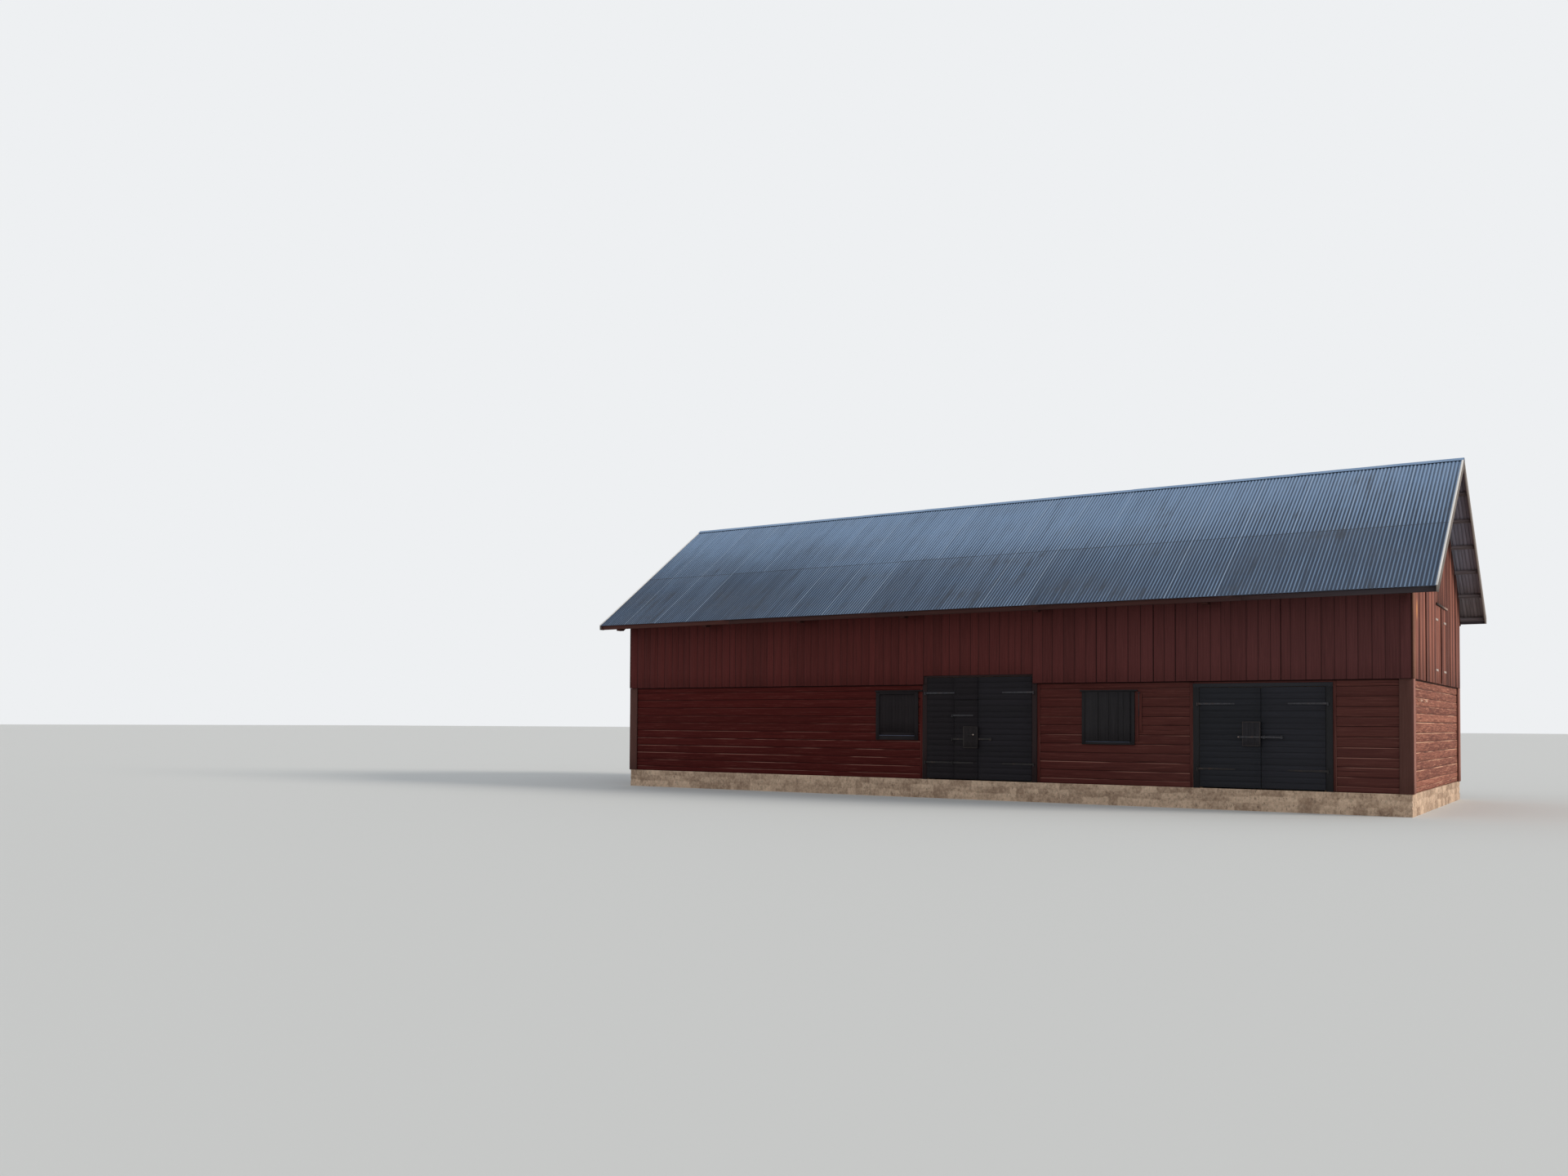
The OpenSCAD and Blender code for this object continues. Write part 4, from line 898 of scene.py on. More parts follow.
# %% [markdown]
# ## The frame inside
#
# Through the open doors one sees what carries the roof: seven frames of post, tie beam and
# post, two of them beside the tall doorway, and wall plates along both walls. Two more posts in
# each gable stand beside the hay door and its like. They are plain boxes in the solids, and
# `bars` gives them arrises, a little sway and grain.

# %% Frames
POST, SEAT, PLATE_H, TIE_H = 0.150, 0.060, 0.150, 0.180
FRAME_END = FRAME_X - POST / 2
TALL_L, TALL_R, LOW_L, LOW_R = -0.658, 2.042, 5.846, 8.386
CASING_W, LOW_CASING_W, POST_GAP = 0.118, 0.132, 0.075
HAY_Y, HAY_W, HAY_LAP = 0.330, 1.600, 0.030
PLATE_TOP = float(roof_z(FRAME_Y, UNDER_DEPTH)) + SEAT
PLATE_LOW = PLATE_TOP - PLATE_H
TIE_LOW = PLATE_LOW - TIE_H
frame_l = TALL_L - (CASING_W + POST + POST_GAP)
frame_r = TALL_R + (CASING_W + POST + POST_GAP)
frames = np.concatenate([np.linspace(-FRAME_END, frame_l, 4), np.linspace(frame_r, FRAME_END, 3)])

wall_y = [span(side, FRAME_Y, FRAME_Y - POST) for side in (-1, 1)]
ties = [[(x - POST / 2, POST - FRAME_Y, TIE_LOW), (x + POST / 2, FRAME_Y - POST, PLATE_LOW)] for x in frames]
plates = [[(-FRAME_X, y0, PLATE_LOW), (FRAME_X, y1, PLATE_TOP)] for y0, y1 in wall_y]
posts = [[(x - POST / 2, y0, LOGS_TOP), (x + POST / 2, y1, PLATE_LOW)] for x in frames for y0, y1 in wall_y]
hay_post = HAY_W / 2 - HAY_LAP
gable_posts = [(FRAME_X - POST, y) for y in (HAY_Y - hay_post - POST, HAY_Y + hay_post)]
gable_posts += [(-FRAME_X, y) for y in (-HALF_W / 3 - POST, HALF_W / 3)]
posts += [[(x, y, LOGS_TOP), (x + POST, y + POST, TIE_LOW)] for x, y in gable_posts]


def timber(name, node, *batches):
    """A piece of the frame, which stands for one node."""
    make_piece(name, batches, frame_timber, nodes=[node])


timber("wall_frame_posts", "wall_posts", bars(posts, Z, X))
timber("wall_frame_plates", "wall_plates", bars(plates, X, Y, stations=9))
timber("wall_frame_ties", "tie_beams", bars(ties, Y, X, stations=6))

# %% [markdown]
# ## Loft
#
# Three joists in each of the two bays at the right carry a floor of boards for the hay. The
# joists lie on the log walls, and the boards run across them between the posts.

# %% Loft joists and floor
JOIST_H, JOIST_W, FLOOR_T, FLOOR_BOARDS = 0.200, 0.150, 0.030, 37
bay = (FRAME_END - frame_r) / 2
joists = [frame_r + b * bay + bay * (j + 0.5) / 3 for b in range(2) for j in range(3)]
joist_top = LOGS_TOP + JOIST_H
joist_boxes = [[(x - JOIST_W / 2, -FRAME_Y, LOGS_TOP), (x + JOIST_W / 2, FRAME_Y, joist_top)] for x in joists]
timber("loft_floor_joists", "loft_joists", bars(joist_boxes, Y, X, stations=6))
floor_y = np.linspace(-(FRAME_Y - POST - FIT), FRAME_Y - POST - FIT, FLOOR_BOARDS + 1)
floor_x = (joists[0] - JOIST_W / 2, FRAME_END - POST / 2 - FIT)
floor_top = joist_top + FLOOR_T
floor_boxes = [[(floor_x[0], a, joist_top), (floor_x[1], b, floor_top)] for a, b in between(floor_y)]
timber("loft_floor_boards", "loft_floor", bars(floor_boxes, X, Y, stations=6, sway=0.0003, profile=GROOVED))

# %% [markdown]
# ## Eaves and verges
#
# A fascia closes the rafter tails and barge boards close the verge. A bleached capping lies on
# the barge board's top edge and over the edge of the sheets. The barge boards are cut plumb at
# the ridge and at the eave, and level with the bottom of the fascia. A cut like that is a
# function of the place on the profile, which `planks` adds to the plank's length.

# %% Fascia
FASCIA_TOP = float(roof_z(FASCIA_Y, SHEET_D))
FASCIA_LOW = FASCIA_TOP - FASCIA_H
fascia_ends = [-VERGE_X, -6.1, -1.7, 2.6, 6.9, VERGE_X]
fascia_boxes = []
for side in (-1, 1):
    y0, y1 = span(side, FASCIA_Y, FASCIA_BACK)
    fascia_boxes += [[(x0, y0, FASCIA_LOW), (x1, y1, FASCIA_TOP)] for x0, x1 in between(fascia_ends)]
make_piece("eave_fascia_boards", [bars(fascia_boxes, X, Z, stations=7, sway=0.0012)], fascia_paint,
           nodes=["eave_fascias"])

# %% Barge boards and cappings
BARGE_D, STRIP_W, STRIP_T = 0.185, 0.038, 0.015
BREAK = ((EAVE_Z - FASCIA_LOW) * COS - BARGE_D / 2) / (BARGE_D / 2)
BARGE = level_profile([(-1, -1, 1, 0, 0), (-1, -1, 0, 1, 0), (-1, -BREAK, 0, 0, 0), (-1, BREAK, 0, 0, 0),
                       (-1, 1, 0, -1, 0), (-1, 1, 1, 0, 0)])


def plumb(side):
    """A plumb cut: the shift along the slope is the depth times the tangent of the pitch."""
    return lambda a, b: side * TAN * b


def eave_cut(side):
    """The plumb cut at the eave, or the level cut at the fascia's bottom where that is higher
    up the slope."""
    def cut(a, b):
        """The shift of the point (a, b) of the profile."""
        depth = BARGE_D / 2 - side * b
        level_s = (FASCIA_LOW - EAVE_Z + depth * COS) / SIN
        return np.maximum(-TAN * depth, level_s) + TAN * BARGE_D / 2
    return cut


barges, strips = [], []
for side in (-1, 1):
    for end in (-1, 1):
        x = end * (VERGE_X + TRIM_T / 2)
        lean = BARGE_D / 2 * TAN
        low, top = (on_slope(x, s, BARGE_D / 2, side) for s in (-lean, ridge_s(0.0) - lean))
        barges.append(planks(low, top, (1, 0, 0), TRIM_T, BARGE_D, stations=12, sway=0.0004,
                             profile=BARGE, arris=0.002, first=eave_cut(side), last=plumb(side)))
        x = end * (VERGE_END - STRIP_W / 2 - 0.001)
        ends = (FIT + 0.001, SLOPE_L - CAP_FLANGE - FIT)
        low, top = (on_slope(x, s, -STRIP_T / 2 - HAIR, side) for s in ends)
        strips.append(planks(low, top, (1, 0, 0), STRIP_W, STRIP_T - 0.001, stations=12, sway=0.0002))
make_piece("verge_barge_boards", barges, barge_wood, nodes=["barge_boards"])
make_piece("verge_capping", strips, bleached_board, nodes=["verge_strips"])

# %% [markdown]
# ## Upright boards of the upper storey
#
# The joints of the front wall stand where the photograph shows them, and the hidden walls get
# boards of the same widths. Painting the joints on one flat wall would be quicker, but then no
# board could stand proud or hang lower than its neighbour. The boards close behind the V of
# each joint, and a few have shrunk and left a crack.

# %% Board joints
DOORWAY_L, DOORWAY_R, TALL_BOARDS_LOW = TALL_L - 0.090, TALL_R + 0.018, 2.937
front_joints = np.array([
    -5.76, -5.54, -5.33, -5.12, -4.87, -4.62, -4.39, -4.18, -3.97, -3.75, -3.52, -3.31, -3.09,
    -2.90, -2.71, -2.48, -2.26, -2.08, -1.85, -1.64, -1.42, -1.21, -0.98, DOORWAY_L, -0.48,
    -0.26, -0.06, 0.22, 0.50, 0.70, 0.98, 1.24, 1.47, 1.63, 1.78, DOORWAY_R, 2.31, 2.54, 2.81, 3.07,
    3.34, 3.576, 3.816, 4.02, 4.30, 4.58, 4.864, 5.10, 5.344, 5.58, 5.82, 6.09, 6.31, 6.51, 6.83,
    7.07, 7.32, 7.52, 7.71, 8.01, 8.31, 8.56, 8.78, 9.00, 9.26, 9.50, 9.77, FRAME_X])
SHRUNK = (3.576, 3.816, 4.864, 5.344, 7.52)


def random_joints(low, high, mean, spread):
    """Joints from low to high at random widths, stretched to end exactly at high."""
    count = max(2, int(round((high - low) / mean)))
    widths = mean * (1 + spread * (2 * rng.random(count) - 1))
    return low + np.concatenate([[0.0], np.cumsum(widths)]) * (high - low) / widths.sum()


front_joints = np.concatenate([random_joints(-FRAME_X, front_joints[0], 0.225, 0.2)[:-1], front_joints])
back_joints = random_joints(-FRAME_X, FRAME_X, 0.235, 0.25)
print("boards in front and behind:", len(front_joints) - 1, len(back_joints) - 1)

# %% Front and back boards
BOARD_T, BOARD_DROP, BOARD_IN, BOARD_VARY = 0.028, 0.004, 0.0012, 0.002
WALL_BOARD = {"arris": 0.005, "stations": 5, "sway": 0.0006, "profile": GROOVED}
UNDER_ROOF = float(roof_z(HALF_W, PURLIN_DEPTH))
NOTCH_LOW = float(roof_z(HALF_W, UNDER_DEPTH)) - FIT
NOTCH_HALF, NOTCH_PAST = RAFTER_W / 2 + FIT, 0.3
CRACK = 0.010


def long_wall_boards(joints, side):
    """One box a board. Where a rafter meets it, the board stops under the rafter, and what is
    beside the rafter goes on up to the roof boards."""
    boxes, tone = [], []
    notches = [[x - NOTCH_HALF, x + NOTCH_HALF] for x in frames]
    notches[0][0], notches[-1][1] = frames[0] - NOTCH_PAST, frames[-1] + NOTCH_PAST
    gaps = [CRACK if side < 0 and joint in SHRUNK else 0.0 for joint in joints]
    for k, (x0, x1) in enumerate(between(joints, 0.0)):
        own = rng.random()
        over_door = side < 0 and DOORWAY_L < (x0 + x1) / 2 < DOORWAY_R
        low = TALL_BOARDS_LOW if over_door else BOARDS_LOW - BOARD_DROP * rng.random()
        face = HALF_W - (BOARD_IN + BOARD_VARY * rng.random())
        y0, y1 = span(side, face, face - BOARD_T + BOARD_VARY)
        cuts = [x0 + gaps[k] / 2]
        cuts += [edge for notch in notches for edge in notch if x0 + 0.01 < edge < x1 - 0.01]
        cuts.append(x1 - gaps[k + 1] / 2)
        beside = [(a, b) for a, b in between(cuts, 0.0)
                  if not any(n0 - 0.001 < (a + b) / 2 < n1 + 0.001 for n0, n1 in notches)]
        whole = beside == [(cuts[0], cuts[-1])]
        boxes.append([(cuts[0], y0, low), (cuts[-1], y1, UNDER_ROOF if whole else NOTCH_LOW)])
        if not whole:
            boxes += [[(a, y0, NOTCH_LOW), (b, y1, UNDER_ROOF)] for a, b in beside]
        tone += [own] * (len(boxes) - len(tone))
    return bars(boxes, Z, X, tone=tone, **WALL_BOARD)


make_piece("front_wall_boards", [long_wall_boards(front_joints, -1)], front_board_paint,
           nodes=["front_boards_left", "front_boards_over_tall_door", "front_boards_right"])
make_piece("back_wall_boards", [long_wall_boards(back_joints, 1)], front_board_paint,
           nodes=["back_boards"])

# %% [markdown]
# ## Boards of the gables
#
# The gable boards end below the roof boards along the slope. A straight plank cut by a boolean
# would do it, but a shear is simpler: each point's height at the top grows with its place
# across the board. Some boards of the sunny gable stand proud of their neighbours and throw a
# thin shadow.

# %% Gable boards


def gable_boards(joints, gable, low, flat_top=None, lifts=(), most=0.004):
    """The top follows the slope: at a joint y it is the roof's height there, so a board over
    the middle is cut twice, and each half is its own piece with a sheared end."""
    over_middle = flat_top is None and joints[0] < 0 < joints[-1]
    edges = sorted(set(joints) | ({0.0} if over_middle else set()))
    batches = []
    own, lift = rng.random(), 0.0
    for y0, y1 in between(edges, 0.0):
        if y0 in joints:
            own, lift = rng.random(), most * rng.random()
            lift = dict(lifts).get(y0, lift)
        middle = (y0 + y1) / 2
        top = flat_top if flat_top else float(roof_z(middle, PURLIN_DEPTH)) - FIT
        x = gable * (HALF_L - BOARD_T / 2 + lift - 2 * HAIR)
        shear = 0.0 if flat_top else (TAN if middle < 0 else -TAN)
        start, end = (x, middle, low - BOARD_DROP * rng.random()), (x, middle, top)
        batches.append(planks(start, end, (0, 1, 0), y1 - y0, BOARD_T - 2 * HAIR, tone=[own],
                              last=lambda a, b: shear * a, **WALL_BOARD))
    return batches


HAY_GAP, HAY_TOP = 0.008, TIE_LOW + 0.061
hay_l, hay_r = HAY_Y - HAY_W / 2, HAY_Y + HAY_W / 2
left_part = [-HALF_W, -3.70, -3.494, -3.24, -2.998, -2.72, -2.438, -2.15, -1.934, -1.598, -1.19, -0.86,
             hay_l - HAY_GAP]
right_part = [hay_r + HAY_GAP, 1.42, 1.70, 1.96, 2.25, 2.50, 2.79, 3.05, 3.36, 3.62, HALF_W]
over_part = [hay_l - HAY_GAP, -0.27, 0.05, 0.33, 0.698, 0.93, hay_r + HAY_GAP]
proud = ((-2.998, 0.010), (-2.15, 0.024), (-1.19, 0.010), (1.96, 0.012), (3.05, 0.010))
right_gable = gable_boards(left_part, 1, BOARDS_LOW, lifts=proud)
right_gable += gable_boards(right_part, 1, BOARDS_LOW, lifts=proud)
right_gable += gable_boards(over_part, 1, HAY_TOP + HAY_GAP)
make_piece("right_gable_wall_boards", right_gable, gable_board_paint, nodes=["right_gable_boards"])
left_gable = gable_boards(list(random_joints(-HALF_W, HALF_W, 0.26, 0.25)), -1, BOARDS_LOW)
make_piece("left_gable_wall_boards", left_gable, left_gable_board_paint, nodes=["left_gable_boards"])

# %% [markdown]
# ## Hay door
#
# The hay door is boarded like the gable around it, so the same function makes it with a flat
# top. A batten covers the meeting of its two leaves, and a drip board stands out over them,
# longer than the door is wide. The drip board is dark at its left end and pale at its right,
# a painted shade and sunlight.

# %% Hay door
HOOD_L, HOOD_H, HOOD_T, HOOD_Y = 1.860, 0.042, 0.030, 0.430

hay_door = []
for joints in ([hay_l, -0.27, 0.02, HAY_Y - HAY_GAP / 2], [HAY_Y + HAY_GAP / 2, 0.62, 0.88, hay_r]):
    hay_door += gable_boards(joints, 1, BOARDS_LOW, flat_top=HAY_TOP, most=0.0)
meeting = [(HALF_L - 0.002, HAY_Y - 0.048, BOARDS_LOW + 0.010),
           (HALF_L + 0.022, HAY_Y + 0.006, HAY_TOP - 0.012)]
hay_door.append(bars([meeting], Z, Y, stations=6))
make_piece("hay_door_boards", hay_door, gable_board_paint, nodes=["hay_door"])
hood = [(HALF_L, HOOD_Y - HOOD_L / 2, HAY_TOP), (HALF_L + HOOD_T, HOOD_Y + HOOD_L / 2, HAY_TOP + HOOD_H)]
make_piece("hay_door_drip_board", [bars([hood], Y, Z, stations=7, sway=0.001)], hood_wood,
           nodes=["hay_door_hood"])

# %% [markdown]
# ## Log walls
#
# The squared logs lie in twelve or thirteen courses and meet behind rounded arrises, so that
# each seam is a dark groove. Each log is a hewn profile with a slight belly, and it drifts by a
# few millimetres along its length. A course that meets a window is split beside it, and only
# what is above or below the hole runs on.

# %% Courses of logs
LOG_T, JAMB_PAST, LEAST_LOG = 0.150, 0.062, 0.02
LOG_STEP, LOG_IN, LOG_VARY, OVER_LOW_DOOR = 0.25, 0.003, 0.004, 2.624
LOG = {"arris": 0.011, "belly": 0.004, "sway": 0.0020, "profile": HEWN}
front_seams = PLINTH_TOP + np.array(
    [0.0, 0.12, 0.31, 0.51, 0.705, 0.91, 1.115, 1.325, 1.515, 1.725, 1.935, 2.135, 2.32])
gable_seams = PLINTH_TOP + np.array(
    [0.0, 0.10, 0.23, 0.45, 0.62, 0.81, 1.02, 1.20, 1.42, 1.60, 1.75, 1.915, 2.10, 2.32])
WINDOW_HOLES = LEFT_HOLE, RIGHT_HOLE = (-1.972, -1.000, 1.481, 2.495), (3.324, 4.348, 1.432, 2.466)


def log_course_boxes(stretches, seams, holes=(), low_cut=0.0):
    """Boxes (x0, x1, z0, z1) of the courses of a wall, cut beside, over and under its holes."""
    boxes = []
    for z0, z1 in between(seams, 0.0):
        z0 = max(z0, low_cut)
        if z1 - z0 < LEAST_LOG:
            continue
        for x0, x1 in stretches:
            cuts = [x0]
            for hx0, hx1, hz0, hz1 in holes:
                if x0 < hx0 < x1 and z1 > hz0 and z0 < hz1:
                    cuts += [hx0, hx1]
                    left_over = ((z0, hz0), (hz1, z1))
                    boxes += [(hx0, hx1, a, b) for a, b in left_over if b - a > LEAST_LOG]
            cuts.append(x1)
            boxes += [(a, b, z0, z1) for a, b in zip(cuts[::2], cuts[1::2])]
    return np.array(boxes)


def log_wall(name, rows, wall, side, finish, *nodes):
    """Long logs get more stations than short ones; wall is the axis the logs run along."""
    batches = []
    for x0, x1, z0, z1 in rows:
        face = (LOG_Y if wall == X else LOG_X) - LOG_T / 2 - LOG_IN - LOG_VARY * rng.random()
        start, end = np.zeros(3), np.zeros(3)
        start[wall], end[wall] = x0, x1
        start[1 - wall] = end[1 - wall] = side * face
        start[Z] = end[Z] = (z0 + z1) / 2
        batches.append(planks(start, end, (0, 0, 1), z1 - z0, LOG_T - LOG_VARY,
                              stations=max(3, int((x1 - x0) / LOG_STEP)), **LOG))
    make_piece(name, batches, finish, nodes=nodes, smooth=0.6)


print("courses in front and in the gables:", len(front_seams) - 1, len(gable_seams) - 1)

# %% Log walls
left_stretch = (-LOG_X, TALL_L - JAMB_PAST)
middle_stretch = (TALL_R + JAMB_PAST, LOW_L - JAMB_PAST)
right_stretch = (LOW_R + JAMB_PAST, LOG_X)
front_rows = np.concatenate([
    log_course_boxes([left_stretch, middle_stretch, right_stretch], front_seams, WINDOW_HOLES),
    log_course_boxes([(LOW_L - JAMB_PAST, LOW_R + JAMB_PAST)], front_seams, low_cut=OVER_LOW_DOOR)])
log_wall("front_logs", front_rows, X, -1, front_log_paint, "front_logs_left", "front_logs_middle",
         "front_logs_right", "front_logs_over_low_door")
back_rows = log_course_boxes([(-LOG_X, LOG_X)], front_seams)
log_wall("back_wall_logs", back_rows, X, 1, front_log_paint, "back_logs")
gable_rows = log_course_boxes([(LOG_T - LOG_Y, LOG_Y - LOG_T)], gable_seams)
log_wall("right_gable_wall_logs", gable_rows, Y, 1, gable_log_paint, "gable_logs")
log_wall("left_gable_wall_logs", gable_rows, Y, -1, left_gable_log_paint, "gable_logs")

# %% [markdown]
# ## Corner boards
#
# Two boards case each corner where the logs end: one on the long wall and one on the gable.
# The gable's board is as thick as the boards above it. Narrow boards beside the doorways and
# the right window lie flush in the logs and show only as a pair of upright seams.

# %% Corner boards and jamb boards
CORNER_T, CORNER_LONG, CORNER_GABLE = 0.025, 0.240, 0.300
CORNER_PROUD, CORNER_TOP = HALF_L - HAIR, BOARDS_LOW - 0.006


def wall_boxes(rows, y0, y1):
    """Boxes between two planes of a long wall, from rows of (x0, x1, z0, z1)."""
    return [[(x0, y0, z0), (x1, y1, z1)] for x0, x1, z0, z1 in rows]


long_corners, gable_corners = [], {-1: [], 1: []}
for end in (-1, 1):
    for side in (-1, 1):
        x0, x1 = span(end, LOG_X - CORNER_LONG + CORNER_T, CORNER_PROUD)
        y0, y1 = span(side, LOG_Y, LOG_Y + CORNER_T)
        long_corners += wall_boxes([(x0, x1, PLINTH_TOP, CORNER_TOP)], y0, y1)
        x0, x1 = span(end, LOG_X, CORNER_PROUD)
        y0, y1 = span(side, LOG_Y, LOG_Y + CORNER_T - CORNER_GABLE)
        gable_corners[end] += wall_boxes([(x0, x1, PLINTH_TOP, CORNER_TOP)], y0, y1)
for label, boxes, across, finish in (("long", long_corners, X, corner_paint),
                                     ("right_gable", gable_corners[1], Y, corner_gable_paint),
                                     ("left_gable", gable_corners[-1], Y, corner_paint)):
    make_piece(f"corner_boards_{label}", [bars(boxes, Z, across, stations=6)], finish,
               nodes=["corner_boards"])

full_height = (0.455, 2.728)
jambs = [(-0.846, -0.777, *full_height), (2.161, 2.232, *full_height), (5.640, 5.713, *full_height),
         (8.519, 8.580, *full_height), (4.440, 4.522, 1.42, 2.52), (4.530, 4.600, 1.62, 2.48)]
jamb_boards = wall_boxes(jambs, -LOG_Y - 0.010, -LOG_Y + 0.014)
make_piece("jamb_side_boards", [bars(jamb_boards, Z, X, stations=6, sway=0.0006)], front_log_paint)

# %% [markdown]
# ## Stone plinth
#
# The plinth is one ring of wall. Its outer face is a height field: three rows of stones with
# random widths, where the height falls to the mortar near a stone's edge. Separate stones would
# need thousands of hidden faces. The ring's profile is carried round the four corners, which it
# turns on the mitre.

# %% Plinth
PLINTH_OUT, PLINTH_T = 0.025, 0.500
STONE_STEP, STONE_LEVELS = 0.030, 19
STONE_W, STONE_OUT, MORTAR_IN, ROUNDING = 0.38, 0.014, 0.022, 0.022
STONE_TOP, ROW_Z = PLINTH_TOP - 0.002, (0.0, 0.17, 0.31, PLINTH_TOP + 0.03)


def plinth_path():
    """Points round the wall, the outward normal at each, or both normals added at a corner, and
    the distance travelled."""
    px, py = LOG_X + PLINTH_OUT, LOG_Y + PLINTH_OUT
    corners = np.array([(-px, -py), (px, -py), (px, py), (-px, py)])
    normals = np.array([(0, -1), (1, 0), (0, 1), (-1, 0)], float)
    path, outward, travel, walked = [], [], [], 0.0
    for k in range(4):
        a, b = corners[k], corners[(k + 1) % 4]
        length = np.linalg.norm(b - a)
        steps = int(length / STONE_STEP)
        share = np.arange(steps) / steps
        path.append(a + (b - a) * share[:, None])
        out = np.repeat(normals[k][None], steps, 0)
        out[0] = normals[k] + normals[k - 1]
        outward.append(out)
        travel.append(share * length + walked)
        walked += length
    return np.concatenate(path), np.concatenate(outward), np.concatenate(travel), walked


print("points round the plinth:", len(plinth_path()[0]))

# %% Rows of stones


def stone_rows(travel, whole, heights):
    """Height field = (1 - e^(-rim / r)) (s + own), where rim is the distance to the stone's
    nearest edge; rows meet on wavy lines. The second array is each stone's own shade."""
    relief, shade = np.zeros((2, len(travel), len(heights)))

    def line(row):
        """The line under a row: its height and two sines of the distance travelled."""
        return ROW_Z[row] + 0.012 * np.sin(travel * 3.1 + row * 2) + 0.008 * np.sin(travel * 7.7 + row)

    for row in range(3):
        edges = random_joints(0.0, whole, STONE_W, 0.6)
        low = line(row) if row else np.full(len(travel), -0.05)
        which = np.clip(np.searchsorted(edges, travel) - 1, 0, len(edges) - 2)
        beside = np.minimum(travel - edges[which], edges[which + 1] - travel)
        inside = np.minimum(heights[None] - low[:, None], line(row + 1)[:, None] - heights[None])
        rim = np.minimum(beside[:, None], inside)
        lump = 1 - np.exp(-np.clip(rim, 0, 1) / ROUNDING)
        own = rng.random(len(edges))[which][:, None] * 0.010
        relief = np.where(inside > 0, lump * (STONE_OUT + own), relief)
        shade = np.where(inside > 0, rng.random(len(edges))[which][:, None], shade)
    return relief + 0.003 * np.sin(travel * 23)[:, None] * np.sin(heights * 31)[None], shade


print("rows of stones:", len(ROW_Z) - 1)

# %% [markdown]
# ## Pale stone
#
# The stones are a warm pale granite with flecks, darker lichen and thin rifts. Three sizes of
# noise make it, and each stone's own shade sets it off from the next.

# %% Pale stone
stone = Finish("pale_stone")
stone_place = stone.place()
speckle = stone.noise(stone_place, (60.0, 60.0, 60.0), 5.0, 0.65)
cloud = stone.noise(stone_place, (4.0, 4.0, 4.0), 4.0, 0.6)
lumps = stone.noise(stone_place, (16.0, 16.0, 16.0), 4.0, 0.6)
stone_share = stone.attribute("tone") * 0.25 + cloud * 0.5 + lumps * 0.4 + speckle * 0.3
stone_colour = stone.mix(stone.mask(stone_share, 0.42, 1.00), paint(148, 120, 98), paint(224, 194, 166))
lichen = stone.mask(stone.noise(stone_place, (11.0, 11.0, 11.0), 4.0), 0.56, 0.66)
stone_colour = stone.mix(lichen * 0.3, stone_colour, paint(122, 106, 88))
rifts = stone.mask(stone.noise(stone_place, (26.0, 26.0, 9.0), 4.0, 0.7), 0.57, 0.65)
stone_colour = stone.mix(rifts * 0.55, stone_colour, paint(96, 74, 60))
stone.surface(Base_Color=stone_colour, Roughness=0.92, Normal=stone.bump(speckle * 0.4 + lumps, 0.012))
print("stone over", PLINTH_TOP, "m")

# %% The ring of the plinth
path, outward, travel, whole = plinth_path()
heights = np.linspace(0.0, STONE_TOP, STONE_LEVELS)
relief, shade = stone_rows(travel, whole, heights)
count = len(path)
offset = np.concatenate([relief - MORTAR_IN, np.full((count, 2), -PLINTH_T)], 1)
shade = np.concatenate([shade, np.full((count, 2), 0.5)], 1)
ring = np.zeros((*offset.shape, 3))
ring[..., :2] = path[:, None] + outward[:, None] * offset[..., None]
ring[..., Z] = [*heights, STONE_TOP, 0.0]
levels = STONE_LEVELS + 2
i, j = np.arange(count)[:, None], np.arange(levels)[None]
after_i, after_j = (i + 1) % count * levels, (j + 1) % levels
stone_faces = np.stack([i * levels + j, after_i + j, after_i + after_j, i * levels + after_j], -1)
stone_batch = {"points": ring.reshape(-1, 3), "faces": stone_faces.reshape(-1, 4), "tone": shade.ravel(),
               "lap": np.zeros(shade.size), "grain": ring.reshape(-1, 3)}
make_piece("plinth_stones", [stone_batch], stone.material, nodes=["long_plinths", "gable_plinths"],
           smooth=0.8)

# %% [markdown]
# ## Doors
#
# The leaves are boarded level, in boards about 13 cm high, tarred black, with upright battens
# behind. The seams run on at the same height from the big leaf over the wicket, so all three
# parts of the tall door share one list of seams, and each part takes what lies within it.

# %% Boards of a leaf
LEAF_FACE, LEAF_T, BATTEN_T, BATTEN_W = 3.903, 0.045, 0.030, 0.120
LEAF_LOW, TALL_TOP, LOW_TOP = 0.475, 2.887, 2.584
LEAST_BOARD, BATTEN_ROOM = 0.012, 0.060
DOOR_WOOD = {"arris": 0.003, "sway": 0.0004}
tall_seams = random_joints(LEAF_LOW, TALL_TOP, 0.134, 0.10)
low_seams = random_joints(LEAF_LOW, LOW_TOP, 0.126, 0.10)


def leaf_boards(x0, x1, low, top, seams, battens):
    """Level boards between the shared seams, cut to this leaf, and upright battens behind them
    from rows (x0, x1, z0, z1)."""
    boxes = []
    for z0, z1 in between(seams):
        a, b = max(z0, low), min(z1, top)
        if b - a > LEAST_BOARD:
            front = -LEAF_FACE + 0.0016 * rng.random()
            boxes += wall_boxes([(x0, x1, a, b)], front, front + LEAF_T - 0.002)
    behind = wall_boxes(battens, -LEAF_FACE + LEAF_T - 0.001, -LEAF_FACE + LEAF_T + BATTEN_T)
    return [bars(boxes, X, Z, stations=5, profile=GROOVED, **DOOR_WOOD), bars(behind, Z, X, **DOOR_WOOD)]


def spread_battens(first, last, count, low, top):
    """Battens at even distances between two places, short of the leaf's bottom and top."""
    return [(x, x + BATTEN_W, low + BATTEN_ROOM, top - BATTEN_ROOM)
            for x in np.linspace(first, last - BATTEN_W, count)]


print("boards in the tall and the low door:", len(tall_seams) - 1, len(low_seams) - 1)

